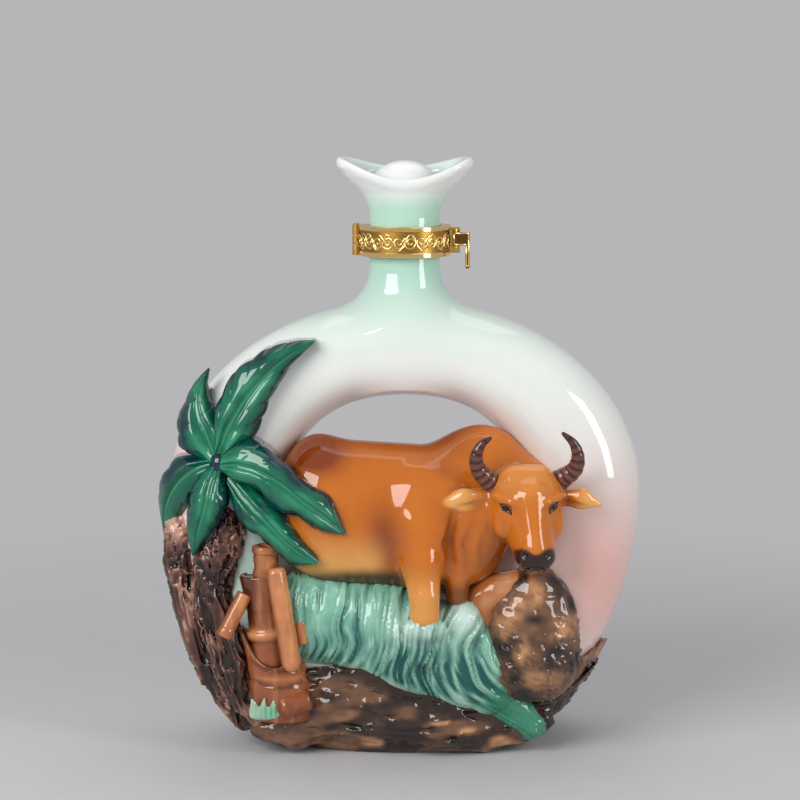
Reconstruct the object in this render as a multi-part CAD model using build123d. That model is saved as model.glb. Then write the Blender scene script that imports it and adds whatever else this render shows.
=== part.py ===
"""A hollow ring-shaped liquor decanter with a standing ox, a palm and bamboo luted to its front.

Millimetres. The foot stands on z = 0, the neck is on the Z axis and the front faces -Y.
Figures, leaves and rocks are cut to the flask that carries them, so they meet it face to face.
"""
import os
from math import cos, pi, radians, sin

from build123d import *

# Ring flask
ring_half_width = 120.5
ring_rise = 96.5
ring_drop = 147.0
ring_centre_z = 130.5
hole_half_width = 60.0
hole_rise = 50.0
hole_drop = 46.0
tube_half_depth_top = 29.0
tube_half_depth_side = 36.0
tube_half_depth_foot = 42.0
wall = 4.6
foot_recess_depth = 2.0
foot_rim_width = 10.0
section_fullness = 2.3

# Neck
neck_outer_radius = 18.0
neck_bore_radius = 15.0
neck_top_z = 256.5
flare_height = 33.0
flare_spread_shares = [(0, 1.5), (0.3, 1.47), (0.62, 1.28), (0.94, 1.03), (1.06, 0.95)]
flange_radius = 21.0
flange_bottom_z = 251.6
flange_thickness = 3.4
gasket_thickness = 1.5
gasket_inset = 0.3

# Clamp, hinge and latch
clamp_bottom_z = 250.0
clamp_top_z = 265.2
clamp_outer_radius = 22.6
clamp_rim_radius = 23.2
clamp_rim_height = 1.6
clamp_wall = 1.4
clamp_half_gap = 0.3
lip_height = 1.4
lip_running_gap = 0.5
seat_gap = 0.1
liner_running_gap = 0.3
liner_height = 5.0
liner_end_gap = 0.4
pin_radius = 1.0
pin_head_radius = 1.6
pin_head_height = 0.8
pin_running_gap = 0.1
knuckle_radius = 2.1
knuckle_gap = 0.25
hinge_offset = 2.0
ear_thickness = 1.6
ear_length = 5.4
ear_end_inset = 1.2
latch_pin_radius = 0.6
latch_knuckle_radius = 1.2
latch_pin_inset = 2.4
latch_running_gap = 0.15
latch_side_gap = 0.35
latch_jaw_gap = 0.6
latch_lug_height = 1.45
latch_height = 6.6
latch_level = 1.0
latch_plate = 1.3
latch_tail_drop = 10.6
latch_tail_width = 2.2

# Ingot-shaped cap and its plug
cap_skirt_radius = 18.0
cap_waist_z = 268.5
cap_total_z = 300.0
cap_half_length = 34.0
cap_half_depth = 21.5
cap_rim_middle_z = 291.0
cap_rim_tilt = 8.0
cap_tip_z = 299.0
cap_floor_z = 277.0
cap_wall = 3.2
boat_shares = [(0, 0.5, 0.79), (0.14, 0.57, 0.85), (0.34, 0.72, 0.91), (0.53, 0.87, 0.97),
               (0.78, 0.97, 1), (1.05, 1.01, 1)]
hollow_shares = [(0, 0.6, 0.79), (0.3, 0.84, 0.95), (0.65, 0.96, 1), (1.08, 1.015, 1)]
dome_half_length = 17.0
dome_half_depth = 13.5
dome_shares = [(-0.09, 1, 1), (0.43, 1, 1), (0.7, 0.89, 0.9), (0.9, 0.62, 0.63), (1, 0.24, 0.25)]
plug_radius = 14.0
plug_length = 21.0
plug_socket_depth = 6.0
seal_radius = 14.9
seal_height = 2.2
seal_seat_depth = 1.2
seal_pitch = 6.5

# Figures: places and widths as shares of the ring's half width (x), its side half depth (y)
# and the height of its centre (z), in the order x, y, z, half width, half depth
barrel_shares = [(-0.55, -0.708, 0.939, 0.075, 0.222), (-0.49, -0.714, 0.939, 0.195, 0.5),
                 (-0.382, -0.722, 0.935, 0.282, 0.722), (-0.249, -0.722, 0.931, 0.311, 0.792),
                 (0.116, -0.778, 0.916, 0.307, 0.778), (0.249, -0.778, 0.916, 0.276, 0.694),
                 (0.349, -0.792, 0.92, 0.203, 0.514), (0.407, -0.806, 0.927, 0.104, 0.264)]
ox_lump_shares = [(-0.365, -0.667, 1.004, 0.158, 0.681, 0.238),
                  (0.315, -0.611, 1.08, 0.216, 0.542, 0.195),
                  (0.481, -0.806, 1.019, 0.166, 0.417, 0.134),
                  (-0.349, -1.056, 0.92, 0.133, 0.319, 0.199),
                  (0.058, -1.194, 0.927, 0.141, 0.389, 0.207),
                  (0.257, -1.056, 0.851, 0.166, 0.403, 0.18)]
ox_neck_shares = [(0.282, -0.917, 0.943, 0.162, 0.542), (0.373, -1.056, 0.973, 0.145, 0.486),
                  (0.456, -1.222, 1, 0.12, 0.403), (0.506, -1.306, 1.015, 0.075, 0.25)]
head_shares = [(0.523, -1.11, 1.126, 0.075, 0.22), (0.523, -1.28, 1.073, 0.124, 0.33),
               (0.523, -1.42, 0.996, 0.154, 0.39), (0.527, -1.56, 0.904, 0.129, 0.36),
               (0.531, -1.69, 0.812, 0.091, 0.31), (0.534, -1.81, 0.743, 0.08, 0.25),
               (0.535, -1.88, 0.701, 0.05, 0.17)]
horn_left_shares = [(0.382, -1.28, 1.027), (0.311, -1.36, 1.065), (0.277, -1.44, 1.126),
                    (0.303, -1.53, 1.18), (0.357, -1.58, 1.211)]
horn_right_shares = [(0.672, -1.22, 1.042), (0.739, -1.33, 1.073), (0.763, -1.42, 1.126),
                     (0.734, -1.5, 1.188), (0.672, -1.56, 1.23)]
horn_root_radius = 4.2
horn_tip_radius = 0.9
ear_left_shares = [(0.39, -1.39, 0.981, 0.029, 0.072), (0.315, -1.44, 0.992, 0.05, 0.083),
                   (0.232, -1.44, 0.977, 0.041, 0.067), (0.154, -1.39, 0.95, 0.01, 0.025)]
ear_right_shares = [(0.656, -1.36, 0.981, 0.029, 0.072), (0.714, -1.39, 0.996, 0.05, 0.083),
                    (0.772, -1.36, 0.973, 0.038, 0.067), (0.822, -1.31, 0.943, 0.01, 0.025)]
near_foreleg_shares = [(0.058, -1.278, 0.92, 0.104, 0.333), (0.066, -1.389, 0.782, 0.091, 0.292),
                       (0.08, -1.514, 0.674, 0.068, 0.222), (0.083, -1.556, 0.613, 0.058, 0.189),
                       (0.085, -1.556, 0.563, 0.05, 0.161)]
far_foreleg_shares = [(0.216, -1.167, 0.766, 0.071, 0.222), (0.216, -1.222, 0.705, 0.06, 0.194),
                      (0.214, -1.278, 0.648, 0.05, 0.161), (0.214, -1.278, 0.609, 0.033, 0.106)]
bank_shares = [(-0.548, -0.861, 0.567, 0.1, 0.194), (-0.481, -0.944, 0.548, 0.162, 0.333),
               (-0.349, -1, 0.529, 0.187, 0.403), (-0.166, -1.014, 0.506, 0.195, 0.417),
               (0.041, -1.056, 0.441, 0.216, 0.458), (0.232, -1.056, 0.379, 0.212, 0.444),
               (0.373, -1.042, 0.264, 0.137, 0.292), (0.481, -0.972, 0.149, 0.054, 0.139)]
# Grooves between the grass strands: x at the top and at the foot
strand_shares = [(-0.46, -0.43), (-0.38, -0.34), (-0.3, -0.25), (-0.22, -0.16), (-0.14, -0.06),
                 (-0.05, 0.05), (0.04, 0.17), (0.13, 0.28), (0.22, 0.39), (0.31, 0.46)]
strand_level_shares = (0.84, 0.45, 0, -0.45, -0.84)
strand_groove_radius = 2.0
strand_groove_depth = 1.1
mound_shares = [(0.365, -1.194, 0.598, 0.129, 0.403, 0.103),
                (0.473, -1.222, 0.663, 0.104, 0.347, 0.077),
                (0.34, -1.278, 0.536, 0.095, 0.347, 0.08)]
boulder_shares = [(0.531, -1.056, 0.226, 0.066, 0.181), (0.531, -1.056, 0.276, 0.145, 0.389),
                  (0.531, -1.056, 0.36, 0.183, 0.483), (0.538, -1.033, 0.46, 0.189, 0.494),
                  (0.539, -1.028, 0.575, 0.178, 0.461), (0.539, -1.028, 0.659, 0.143, 0.369),
                  (0.539, -1.028, 0.709, 0.1, 0.261), (0.539, -1.028, 0.743, 0.041, 0.111)]
# The upper edge of the rocky crust on the front, and of the side rock: x, z
crust_edge_shares = [(-0.664, 0.184), (-0.548, 0.307), (-0.299, 0.352), (0, 0.322), (0.216, 0.23),
                     (0.49, 0.169)]
side_edge_shares = [(0.55, 0.184), (0.59, 0.284), (0.747, 0.364), (0.95, 0.46)]
side_floor_share = 0.092
ridge_shares = [(-0.631, -0.889, 0.115, 0.05, 0.167), (-0.548, -0.931, 0.107, 0.083, 0.264),
                (-0.448, -0.972, 0.107, 0.095, 0.319), (-0.299, -1.028, 0.203, 0.104, 0.347),
                (-0.1, -1.056, 0.184, 0.108, 0.361), (0.116, -1.056, 0.119, 0.104, 0.347),
                (0.332, -0.972, 0.08, 0.087, 0.292), (0.548, -0.833, 0.115, 0.05, 0.167)]
crust_thickness = 3.2
side_thickness = 3.0
crust_back_height = 16.0
crust_back_y = 12.0
side_back_y = -12.0
# Two low folds that run along the crust
low_fold_shares = [(-0.432, -1.028, 0.057, 0.017, 0.083), (-0.232, -1.194, 0.054, 0.025, 0.111),
                   (0, -1.25, 0.05, 0.027, 0.117), (0.232, -1.194, 0.057, 0.025, 0.111),
                   (0.465, -1, 0.084, 0.017, 0.083)]
high_fold_shares = [(-0.415, -1, 0.314, 0.017, 0.083), (-0.224, -1.153, 0.314, 0.027, 0.117),
                    (0, -1.194, 0.284, 0.028, 0.122), (0.207, -1.167, 0.215, 0.025, 0.111),
                    (0.398, -1.056, 0.153, 0.017, 0.083)]
stalk_shares = [(-0.523, -0.94, 0.138, 0.133, 0.31), (-0.548, -1, 0.276, 0.112, 0.29),
                (-0.589, -1.06, 0.429, 0.087, 0.26), (-0.622, -1.08, 0.582, 0.069, 0.23),
                (-0.631, -1.08, 0.697, 0.064, 0.21)]
tuft_shares = [(-0.548, -1.22, 0.253, 0.025, 0.083), (-0.564, -1.28, 0.207, 0.062, 0.14),
               (-0.573, -1.28, 0.146, 0.071, 0.15), (-0.564, -1.22, 0.077, 0.05, 0.14)]
trunk_left_shares = [(-0.938, -0.639, 0.916, 0.033, 0.111), (-0.938, -0.639, 0.866, 0.066, 0.222),
                     (-0.95, -0.667, 0.743, 0.065, 0.217), (-0.923, -0.722, 0.613, 0.062, 0.208),
                     (-0.859, -0.778, 0.398, 0.06, 0.2), (-0.809, -0.806, 0.291, 0.057, 0.192),
                     (-0.747, -0.806, 0.207, 0.054, 0.181), (-0.676, -0.806, 0.123, 0.05, 0.167)]
trunk_right_shares = [(-0.763, -0.917, 0.95, 0.041, 0.139), (-0.763, -0.917, 0.874, 0.1, 0.333),
                      (-0.784, -0.944, 0.751, 0.095, 0.319), (-0.805, -0.972, 0.644, 0.082, 0.275),
                      (-0.755, -1, 0.437, 0.083, 0.278), (-0.718, -1.028, 0.322, 0.075, 0.25),
                      (-0.68, -1, 0.238, 0.065, 0.217), (-0.639, -0.944, 0.146, 0.055, 0.183)]
cane_shares = {"short_pipe": ((-0.602, -1.11, 0.674), (-0.585, -1.11, 0.805)),
               "slanted_tube": ((-0.667, -1.08, 0.621), (-0.788, -1.14, 0.444)),
               "long_tube": ((-0.539, -1.25, 0.69), (-0.461, -1.22, 0.299)),
               "bamboo_knob": ((-0.415, -1.28, 0.475), (-0.393, -1.33, 0.37))}
cane_radii = {"short_pipe": 6.6, "slanted_tube": 3.3, "long_tube": 4.3, "bamboo_knob": 4.4}

# Palm leaves
leaf_shares = {
    "palm_leaf_5": [
        (-0.746, -1.177, 1.158, 0.046, 0.128), (-0.683, -1.294, 1.161, 0.092, 0.15),
        (-0.594, -1.433, 1.141, 0.089, 0.15), (-0.51, -1.517, 1.074, 0.094, 0.15),
        (-0.422, -1.572, 1.026, 0.076, 0.15), (-0.324, -1.544, 0.965, 0.069, 0.15),
        (-0.246, -1.575, 0.895, 0.007, 0.036)],
    "palm_leaf_6": [
        (-0.695, -1.134, 1.078, 0.052, 0.144), (-0.629, -1.267, 0.985, 0.08, 0.15),
        (-0.551, -1.378, 0.916, 0.077, 0.15), (-0.488, -1.433, 0.855, 0.058, 0.15),
        (-0.429, -1.435, 0.801, 0.053, 0.149), (-0.362, -1.515, 0.781, 0.015, 0.041)],
    "palm_leaf_4": [
        (-0.771, -1.112, 1.127, 0.04, 0.11), (-0.794, -1.211, 1.057, 0.076, 0.15),
        (-0.813, -1.267, 0.978, 0.079, 0.15), (-0.848, -1.211, 0.895, 0.055, 0.15),
        (-0.878, -1.158, 0.79, 0.007, 0.036)],
    "palm_leaf_1": [
        (-0.755, -1.092, 1.21, 0.047, 0.13), (-0.697, -1.1, 1.302, 0.106, 0.15),
        (-0.637, -1.1, 1.417, 0.103, 0.15), (-0.564, -1.072, 1.494, 0.082, 0.15),
        (-0.477, -1.008, 1.563, 0.047, 0.13), (-0.373, -0.992, 1.61, 0.007, 0.036)],
    "palm_leaf_2": [
        (-0.794, -1.077, 1.167, 0.042, 0.117), (-0.847, -0.989, 1.237, 0.078, 0.15),
        (-0.859, -0.906, 1.317, 0.07, 0.15), (-0.86, -0.821, 1.384, 0.045, 0.124),
        (-0.843, -0.763, 1.443, 0.025, 0.07), (-0.813, -0.686, 1.495, 0.007, 0.036)],
    "palm_leaf_3": [
        (-0.793, -1.113, 1.133, 0.029, 0.082), (-0.888, -0.989, 1.108, 0.076, 0.15),
        (-0.951, -0.85, 1.047, 0.066, 0.15), (-0.975, -0.656, 0.978, 0.065, 0.15),
        (-0.996, -0.498, 0.899, 0.041, 0.113), (-1.009, -0.436, 0.806, 0.007, 0.036)]}

# Making
overrun = 1.0
SPLINE_POINTS = 12
SECTIONS = 5
ROUND = 2.0
ROCK_FULLNESS = 2.4
BACK, SIDE, UP = Vector(0, 1, 0), Vector(1, 0, 0), Vector(0, 0, 1)


def ring_z(sine):
    """Height of the ring's outer ellipse for a sine measured at the ring's centre."""
    return ring_centre_z + (ring_rise if sine >= 0 else ring_drop) * sine


def hole_z(sine):
    return ring_centre_z + (hole_rise if sine >= 0 else hole_drop) * sine


def half_depth(sine):
    """Front-to-back half depth of the ring's tube for a sine at the ring's centre."""
    end = tube_half_depth_top if sine >= 0 else tube_half_depth_foot
    return tube_half_depth_side + (end - tube_half_depth_side) * abs(sine) ** 1.5


def oval(centre, across, along, half_across, half_along, fullness=ROUND):
    """A closed smooth wire: a superellipse in the plane of two unit vectors."""
    points = []
    for step in range(SPLINE_POINTS):
        turn = 2 * pi * step / SPLINE_POINTS
        c, s = cos(turn), sin(turn)
        c_full = abs(c) ** (ROUND / fullness) * (1 if c >= 0 else -1)
        s_full = abs(s) ** (ROUND / fullness) * (1 if s >= 0 else -1)
        points.append(centre + across * (half_across * c_full) + along * (half_along * s_full))
    return Wire([Edge.make_spline(points, periodic=True)])


def place(x_share, y_share, z_share):
    """A point of the figures, from shares of the ring's sizes."""
    return Vector(x_share * ring_half_width, y_share * tube_half_depth_side,
                  z_share * ring_centre_z)


def limb(centres, radii, fullness=ROUND):
    """A smooth solid through ovals that stand square to a path: (half width, half depth)."""
    wires = []
    for i, centre in enumerate(centres):
        before, after = centres[max(i - 1, 0)], centres[min(i + 1, len(centres) - 1)]
        path = (after - before).normalized()
        depth = (BACK - path * path.Y).normalized()
        wires.append(oval(centre, depth.cross(path), depth, *radii[i], fullness))
    return Solid.make_loft(wires)


def radii_of(shares):
    return [(s[3] * ring_half_width, s[4] * tube_half_depth_side) for s in shares]


def figure(shares, fullness=ROUND):
    return limb([place(*s[:3]) for s in shares], radii_of(shares), fullness)


def rock(shares):
    """A lump through level ovals."""
    wires = [oval(place(*s[:3]), SIDE, BACK, *radii, ROCK_FULLNESS)
             for s, radii in zip(shares, radii_of(shares))]
    return Solid.make_loft(wires)


def tube_wire(angle, inset):
    c, s = cos(radians(angle)), sin(radians(angle))
    outer = Vector(ring_half_width * c, 0, ring_z(s))
    inner = Vector(hole_half_width * c, 0, hole_z(s))
    half_width = (outer - inner).length / 2
    return oval((outer + inner) / 2, (outer - inner).normalized(), BACK,
                half_width - inset, half_depth(s) - inset, section_fullness)


def ring_solid(inset):
    """The closed ring, as four quarters that share their end sections."""
    ring = None
    for start in (-90, 0, 90, 180):
        quarter = Solid.make_loft([tube_wire(start + 90 * k / SECTIONS, inset)
                                   for k in range(SECTIONS + 1)])
        ring = quarter if ring is None else ring + quarter
    return ring


def lumps(shares):
    """Rounded masses run together: x, y, z and the three half sizes of each."""
    whole = None
    for x, y, z, half_x, half_y, half_z in shares:
        mass = scale(Sphere(1), by=(half_x * ring_half_width, half_y * tube_half_depth_side,
                                    half_z * ring_centre_z))
        mass = Pos(*place(x, y, z)) * mass
        whole = mass if whole is None else whole + mass
    return whole


def crust(thickness, edge_shares, floor_share, front, back):
    """A skin on the ring's outside, below an edge drawn on its front, between two depths."""
    reach = 2 * ring_half_width
    points = [(x * ring_half_width, z * ring_centre_z) for x, z in edge_shares]
    floor = floor_share * ring_centre_z
    outline = Plane.XZ * Polyline((points[0][0], floor), *points, (points[-1][0], floor), close=True)
    window = extrude(make_face(outline), amount=reach, both=True)
    lower = None
    for start in (180, 270):
        quarter = Solid.make_loft([tube_wire(start + 90 * k / SECTIONS, -thickness)
                                   for k in range(SECTIONS + 1)])
        lower = quarter if lower is None else lower + quarter
    return lower & window & slab(-reach, reach, front, back, 0, reach)


def upright(radius, bottom, top, x=0.0, y=0.0):
    return Pos(x, y, (bottom + top) / 2) * Cylinder(radius, top - bottom)


def slab(x0, x1, y0, y1, z0, z1):
    return Pos((x0 + x1) / 2, (y0 + y1) / 2, (z0 + z1) / 2) * Box(x1 - x0, y1 - y0, z1 - z0)


def pipe(outer, inner, bottom, top):
    return upright(outer, bottom, top) - upright(inner, bottom - overrun, top + overrun)


kept_boxes = {}


def whole(shape):
    """A shape without the crumbs that a cut can leave."""
    solids = shape.solids()
    biggest = max(s.volume for s in solids)
    kept = [s for s in solids if s.volume > biggest / 50]
    return kept[0] if len(kept) == 1 else Compound(children=kept)


def box_of(shape):
    """A shape's bounding box, worked out once and kept with the shape."""
    if id(shape) not in kept_boxes:
        kept_boxes[id(shape)] = shape, shape.bounding_box()
    return kept_boxes[id(shape)][1]


def cut(shape, others):
    """Take other shapes away from one, passing over those that stand clear of it."""
    box = shape.bounding_box()
    for other in others:
        theirs = box_of(other)
        if all(low < high for low, high in zip((*box.min, *theirs.min), (*theirs.max, *box.max))):
            shape = shape - other
    return whole(shape)


def put(name, shape):
    shape = whole(shape)
    print(f"{name:18s} solids {len(shape.solids())} valid {shape.is_valid} volume {shape.volume:.1f}")
    export_step(shape, f"parts/{name}.step")


def make_flask():
    """The hollow ring with its neck, and the same form without its hollows."""
    reach = 2 * ring_half_width
    outer = ring_solid(0) - slab(-reach, reach, -reach, reach, -reach, 0)
    root_z = ring_z(1) - flare_height * 2 / 3
    flare = Solid.make_loft([oval(Vector(0, 0, root_z + flare_height * rise), SIDE, BACK,
                                  neck_outer_radius * spread, neck_outer_radius * spread)
                             for rise, spread in flare_spread_shares])
    neck = upright(neck_outer_radius, ring_z(1), neck_top_z)
    flange = upright(flange_radius, flange_bottom_z, flange_bottom_z + flange_thickness)
    outer = outer + flare + neck + flange
    cavity = ring_solid(wall) - slab(-reach, reach, -reach, reach, -reach, foot_recess_depth + wall)
    bore = upright(neck_bore_radius, hole_z(1) + 2 * wall, neck_top_z + overrun)
    foot_half_width = ring_half_width * (1 - (ring_centre_z / ring_drop) ** 2) ** 0.5
    recess = extrude(Ellipse(foot_half_width - foot_rim_width,
                             tube_half_depth_foot - foot_rim_width), foot_recess_depth)
    flask = outer - cavity - bore - recess
    brim = (outer.volume - flask.volume - recess.volume) / 1e6
    print(f"liquid space to the brim {brim:.3f} litres, foot half width {foot_half_width:.1f}")
    return flask, outer, recess


def make_horn(shares):
    steps = len(shares) - 1
    radii = [horn_root_radius + (horn_tip_radius - horn_root_radius) * (k / steps) ** 1.3
             for k in range(steps + 1)]
    return limb([place(*s) for s in shares], [(r, r) for r in radii])


def make_ox(outer):
    torso = figure(barrel_shares) + lumps(ox_lump_shares) + figure(ox_neck_shares)
    shapes = {"ox_torso": torso, "ox_head": figure(head_shares, section_fullness),
              "ox_horn_left": make_horn(horn_left_shares),
              "ox_horn_right": make_horn(horn_right_shares),
              "ox_ear_left": figure(ear_left_shares), "ox_ear_right": figure(ear_right_shares),
              "ox_near_foreleg": figure(near_foreleg_shares),
              "ox_far_foreleg": figure(far_foreleg_shares)}
    ox = {}
    for name, shape in shapes.items():
        ox[name] = cut(shape, [outer, *ox.values()])
    return ox


def station(shares, x_share):
    """The row of a figure's table at a place between its rows."""
    for before, after in zip(shares, shares[1:]):
        if x_share <= after[0]:
            break
    t = (x_share - before[0]) / (after[0] - before[0])
    return [a + (b - a) * t for a, b in zip(before, after)]


def comb(bank):
    """Cut the grooves that run down the bank's front between the grass strands."""
    last = len(strand_level_shares) - 1
    grooves = []
    for top_share, foot_share in strand_shares:
        centres = []
        for k, level in enumerate(strand_level_shares):
            row = station(bank_shares, top_share + (foot_share - top_share) * k / last)
            half_height, half_depth_here = row[3] * ring_half_width, row[4] * tube_half_depth_side
            swell = (1 - abs(level) ** section_fullness) ** (1 / section_fullness)
            centres.append(place(*row[:3]) + UP * (level * half_height) - BACK
                           * (half_depth_here * swell + strand_groove_radius - strand_groove_depth))
        grooves.append(limb(centres, [(strand_groove_radius, strand_groove_radius)] * len(centres)))
    return bank - grooves


def make_ground(outer, ox, recess):
    """Grass bank, rocks and the rocky ground under the bank."""
    reach = 2 * ring_half_width
    side = crust(side_thickness, side_edge_shares, side_floor_share, -reach, side_back_y)
    front = crust(crust_thickness, crust_edge_shares, 0, -reach, crust_back_y)
    back = crust(crust_thickness, [(x, crust_back_height / ring_centre_z) for x in (-1, 1)], 0,
                 crust_back_y, reach)
    ridge = figure(ridge_shares) - recess - slab(-reach, reach, -reach, reach, -reach, 0)
    folds = figure(low_fold_shares) + figure(high_fold_shares)
    land = {"boulder": rock(boulder_shares), "mound": lumps(mound_shares), "side_rock": side,
            "grass_bank": figure(bank_shares, section_fullness),
            "rocky_ground": front + back + ridge + folds}
    done = {}
    for name, shape in land.items():
        done[name] = cut(shape, [outer, *ox.values(), *done.values()])
    return done


def make_bamboo(outer, land):
    stalk = Solid.make_loft([oval(place(*s[:3]), SIDE, BACK, *radii)
                             for s, radii in zip(stalk_shares, radii_of(stalk_shares))])
    done = {}
    shapes = {"bamboo_stalk": stalk}
    for name, (foot, head) in cane_shares.items():
        start, end = place(*foot), place(*head)
        shapes[name] = Solid.make_cylinder(cane_radii[name], (end - start).length,
                                           Plane(origin=start, z_dir=end - start))
    shapes["grass_tuft"] = figure(tuft_shares)
    for name, shape in shapes.items():
        done[name] = cut(shape, [outer, *land.values(), *done.values()])
    return done


def make_palm(outer, ox, land, bamboo):
    trunk = figure(trunk_left_shares) + figure(trunk_right_shares)
    palm = {"palm_trunk": cut(trunk, [outer, *land.values(), *bamboo.values()])}
    for name, shares in leaf_shares.items():
        palm[name] = cut(figure(shares), [outer, *ox.values(), *bamboo.values(), *palm.values()])
    return palm


def half_band(side, bottom_lip_top):
    """One half of the clamp: wall, raised rims, inner lips and a radial ear."""
    z0, z1, inner = clamp_bottom_z, clamp_top_z, clamp_outer_radius - clamp_wall
    lip_outer = clamp_outer_radius - clamp_wall / 2
    band = pipe(clamp_outer_radius, inner, z0, z1)
    band += pipe(clamp_rim_radius, inner, z0, z0 + clamp_rim_height)
    band += pipe(clamp_rim_radius, inner, z1 - clamp_rim_height, z1)
    band += pipe(lip_outer, neck_outer_radius + lip_running_gap, z0, bottom_lip_top)
    band += pipe(lip_outer, cap_skirt_radius + lip_running_gap, z1 - lip_height, z1)
    y0, y1 = sorted((side * clamp_half_gap, side * (clamp_half_gap + ear_thickness)))
    band += slab(inner, clamp_outer_radius + ear_length, y0, y1,
                 z0 + ear_end_inset, z1 - ear_end_inset)
    reach = 2 * clamp_outer_radius
    keep = sorted((side * clamp_half_gap, side * reach))
    return band & slab(-reach, reach, *keep, z0 - overrun, z1 + overrun)


def make_clamp():
    """Two halves on a hinge pin, their liners, and the latch hook drawn swung out."""
    z0, z1 = clamp_bottom_z, clamp_top_z
    hinge_x = -(clamp_outer_radius + hinge_offset)
    third = (z1 - z0) / 3

    def knuckle(level, spare=0.0):
        return upright(knuckle_radius + max(spare, 0), z0 + third * level - spare,
                       z0 + third * (level + 1) + spare, hinge_x)

    pin_seat = upright(pin_radius, z0 - overrun, z1 + overrun, hinge_x)
    pin_bore = upright(pin_radius + pin_running_gap, z0 - overrun, z1 + overrun, hinge_x)
    rear_room = knuckle(1, knuckle_gap)
    front = half_band(-1, flange_bottom_z - seat_gap) + knuckle(0) + knuckle(2)
    front = front - rear_room - pin_bore
    rear = half_band(1, flange_bottom_z)
    rear = rear - knuckle(0, knuckle_gap) - knuckle(2, knuckle_gap)
    rear = rear + knuckle(1, -knuckle_gap) - pin_seat
    hinge_pin = (upright(pin_radius, z0, z1 + seat_gap + pin_head_height, hinge_x)
                 + upright(pin_head_radius, z1 + seat_gap, z1 + seat_gap + pin_head_height, hinge_x))

    pin_x = clamp_outer_radius + ear_length - latch_pin_inset
    pin_y = -(clamp_half_gap + ear_thickness + latch_knuckle_radius + 2 * latch_running_gap)
    hook_z0 = (z0 + z1 - latch_height) / 2 + latch_level
    hook_z1 = hook_z0 + latch_height
    low = (hook_z0 - latch_running_gap - latch_lug_height, hook_z0 - latch_running_gap)
    high = (hook_z1 + latch_running_gap, hook_z1 + latch_running_gap + latch_lug_height)
    ear_middle = -(clamp_half_gap + ear_thickness / 2)
    for lug_z0, lug_z1 in (low, high):
        front += upright(latch_knuckle_radius, lug_z0, lug_z1, pin_x, pin_y)
        front += slab(pin_x - latch_knuckle_radius, pin_x + latch_knuckle_radius,
                      pin_y, ear_middle, lug_z0, lug_z1)
    front = front - upright(latch_pin_radius, low[0] - overrun, high[1] + overrun, pin_x, pin_y)
    latch_pin = upright(latch_pin_radius, low[0], high[1], pin_x, pin_y)

    jaw_x0 = pin_x + clamp_half_gap + ear_thickness - pin_y + latch_jaw_gap
    jaw_x1 = jaw_x0 + latch_plate
    plate_y1 = pin_y - latch_pin_inset - latch_side_gap
    plate_y0 = plate_y1 - latch_plate
    hook = slab(pin_x - latch_knuckle_radius, jaw_x1, plate_y0, plate_y1, hook_z0, hook_z1)
    hook += slab(pin_x - latch_knuckle_radius, pin_x + latch_knuckle_radius, plate_y0, pin_y,
                 hook_z0, hook_z1)
    hook += upright(latch_knuckle_radius, hook_z0, hook_z1, pin_x, pin_y)
    hook += slab(jaw_x0, jaw_x1, plate_y0, pin_y - latch_knuckle_radius, hook_z0, hook_z1)
    tail_x = jaw_x1 - latch_tail_width
    tail_z = hook_z0 - latch_tail_drop
    hook += slab(tail_x, jaw_x1, plate_y0, plate_y1, tail_z, hook_z0 + latch_tail_width)
    hook += (Pos((tail_x + jaw_x1) / 2, (plate_y0 + plate_y1) / 2, tail_z) * Rot(90, 0, 0)
             * Cylinder(latch_tail_width / 2, latch_plate))
    hook = hook - upright(latch_pin_radius + pin_running_gap, hook_z0 - overrun,
                          hook_z1 + overrun, pin_x, pin_y)

    liner_z1 = z1 - lip_height
    reach = 2 * clamp_outer_radius
    liner = pipe(clamp_outer_radius - clamp_wall, cap_skirt_radius + liner_running_gap,
                 liner_z1 - liner_height, liner_z1)
    near = clamp_half_gap + liner_end_gap
    front_half = slab(-reach, reach, -reach, -near, z0, z1)
    rear_half = slab(-reach, reach, near, reach, z0, z1)
    print(f"hinge axis x {hinge_x:.3f} y 0, latch axis x {pin_x:.3f} y {pin_y:.3f}")
    return {"clamp_rear": rear, "clamp_front": front, "hinge_pin": hinge_pin,
            "latch_pin": latch_pin, "latch_hook": hook, "liner_front": liner & front_half,
            "liner_rear": liner & rear_half,
            "neck_gasket": pipe(neck_outer_radius - gasket_inset, neck_bore_radius + gasket_inset,
                                neck_top_z, neck_top_z + gasket_thickness)}


def level_loft(shares, z0, z1, half_x, half_y):
    """A loft through level ovals: (height share, length share, depth share)."""
    return Solid.make_loft([oval(UP * (z0 + (z1 - z0) * rise), SIDE, BACK,
                                 half_x * length, half_y * depth)
                            for rise, length, depth in shares])


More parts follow.
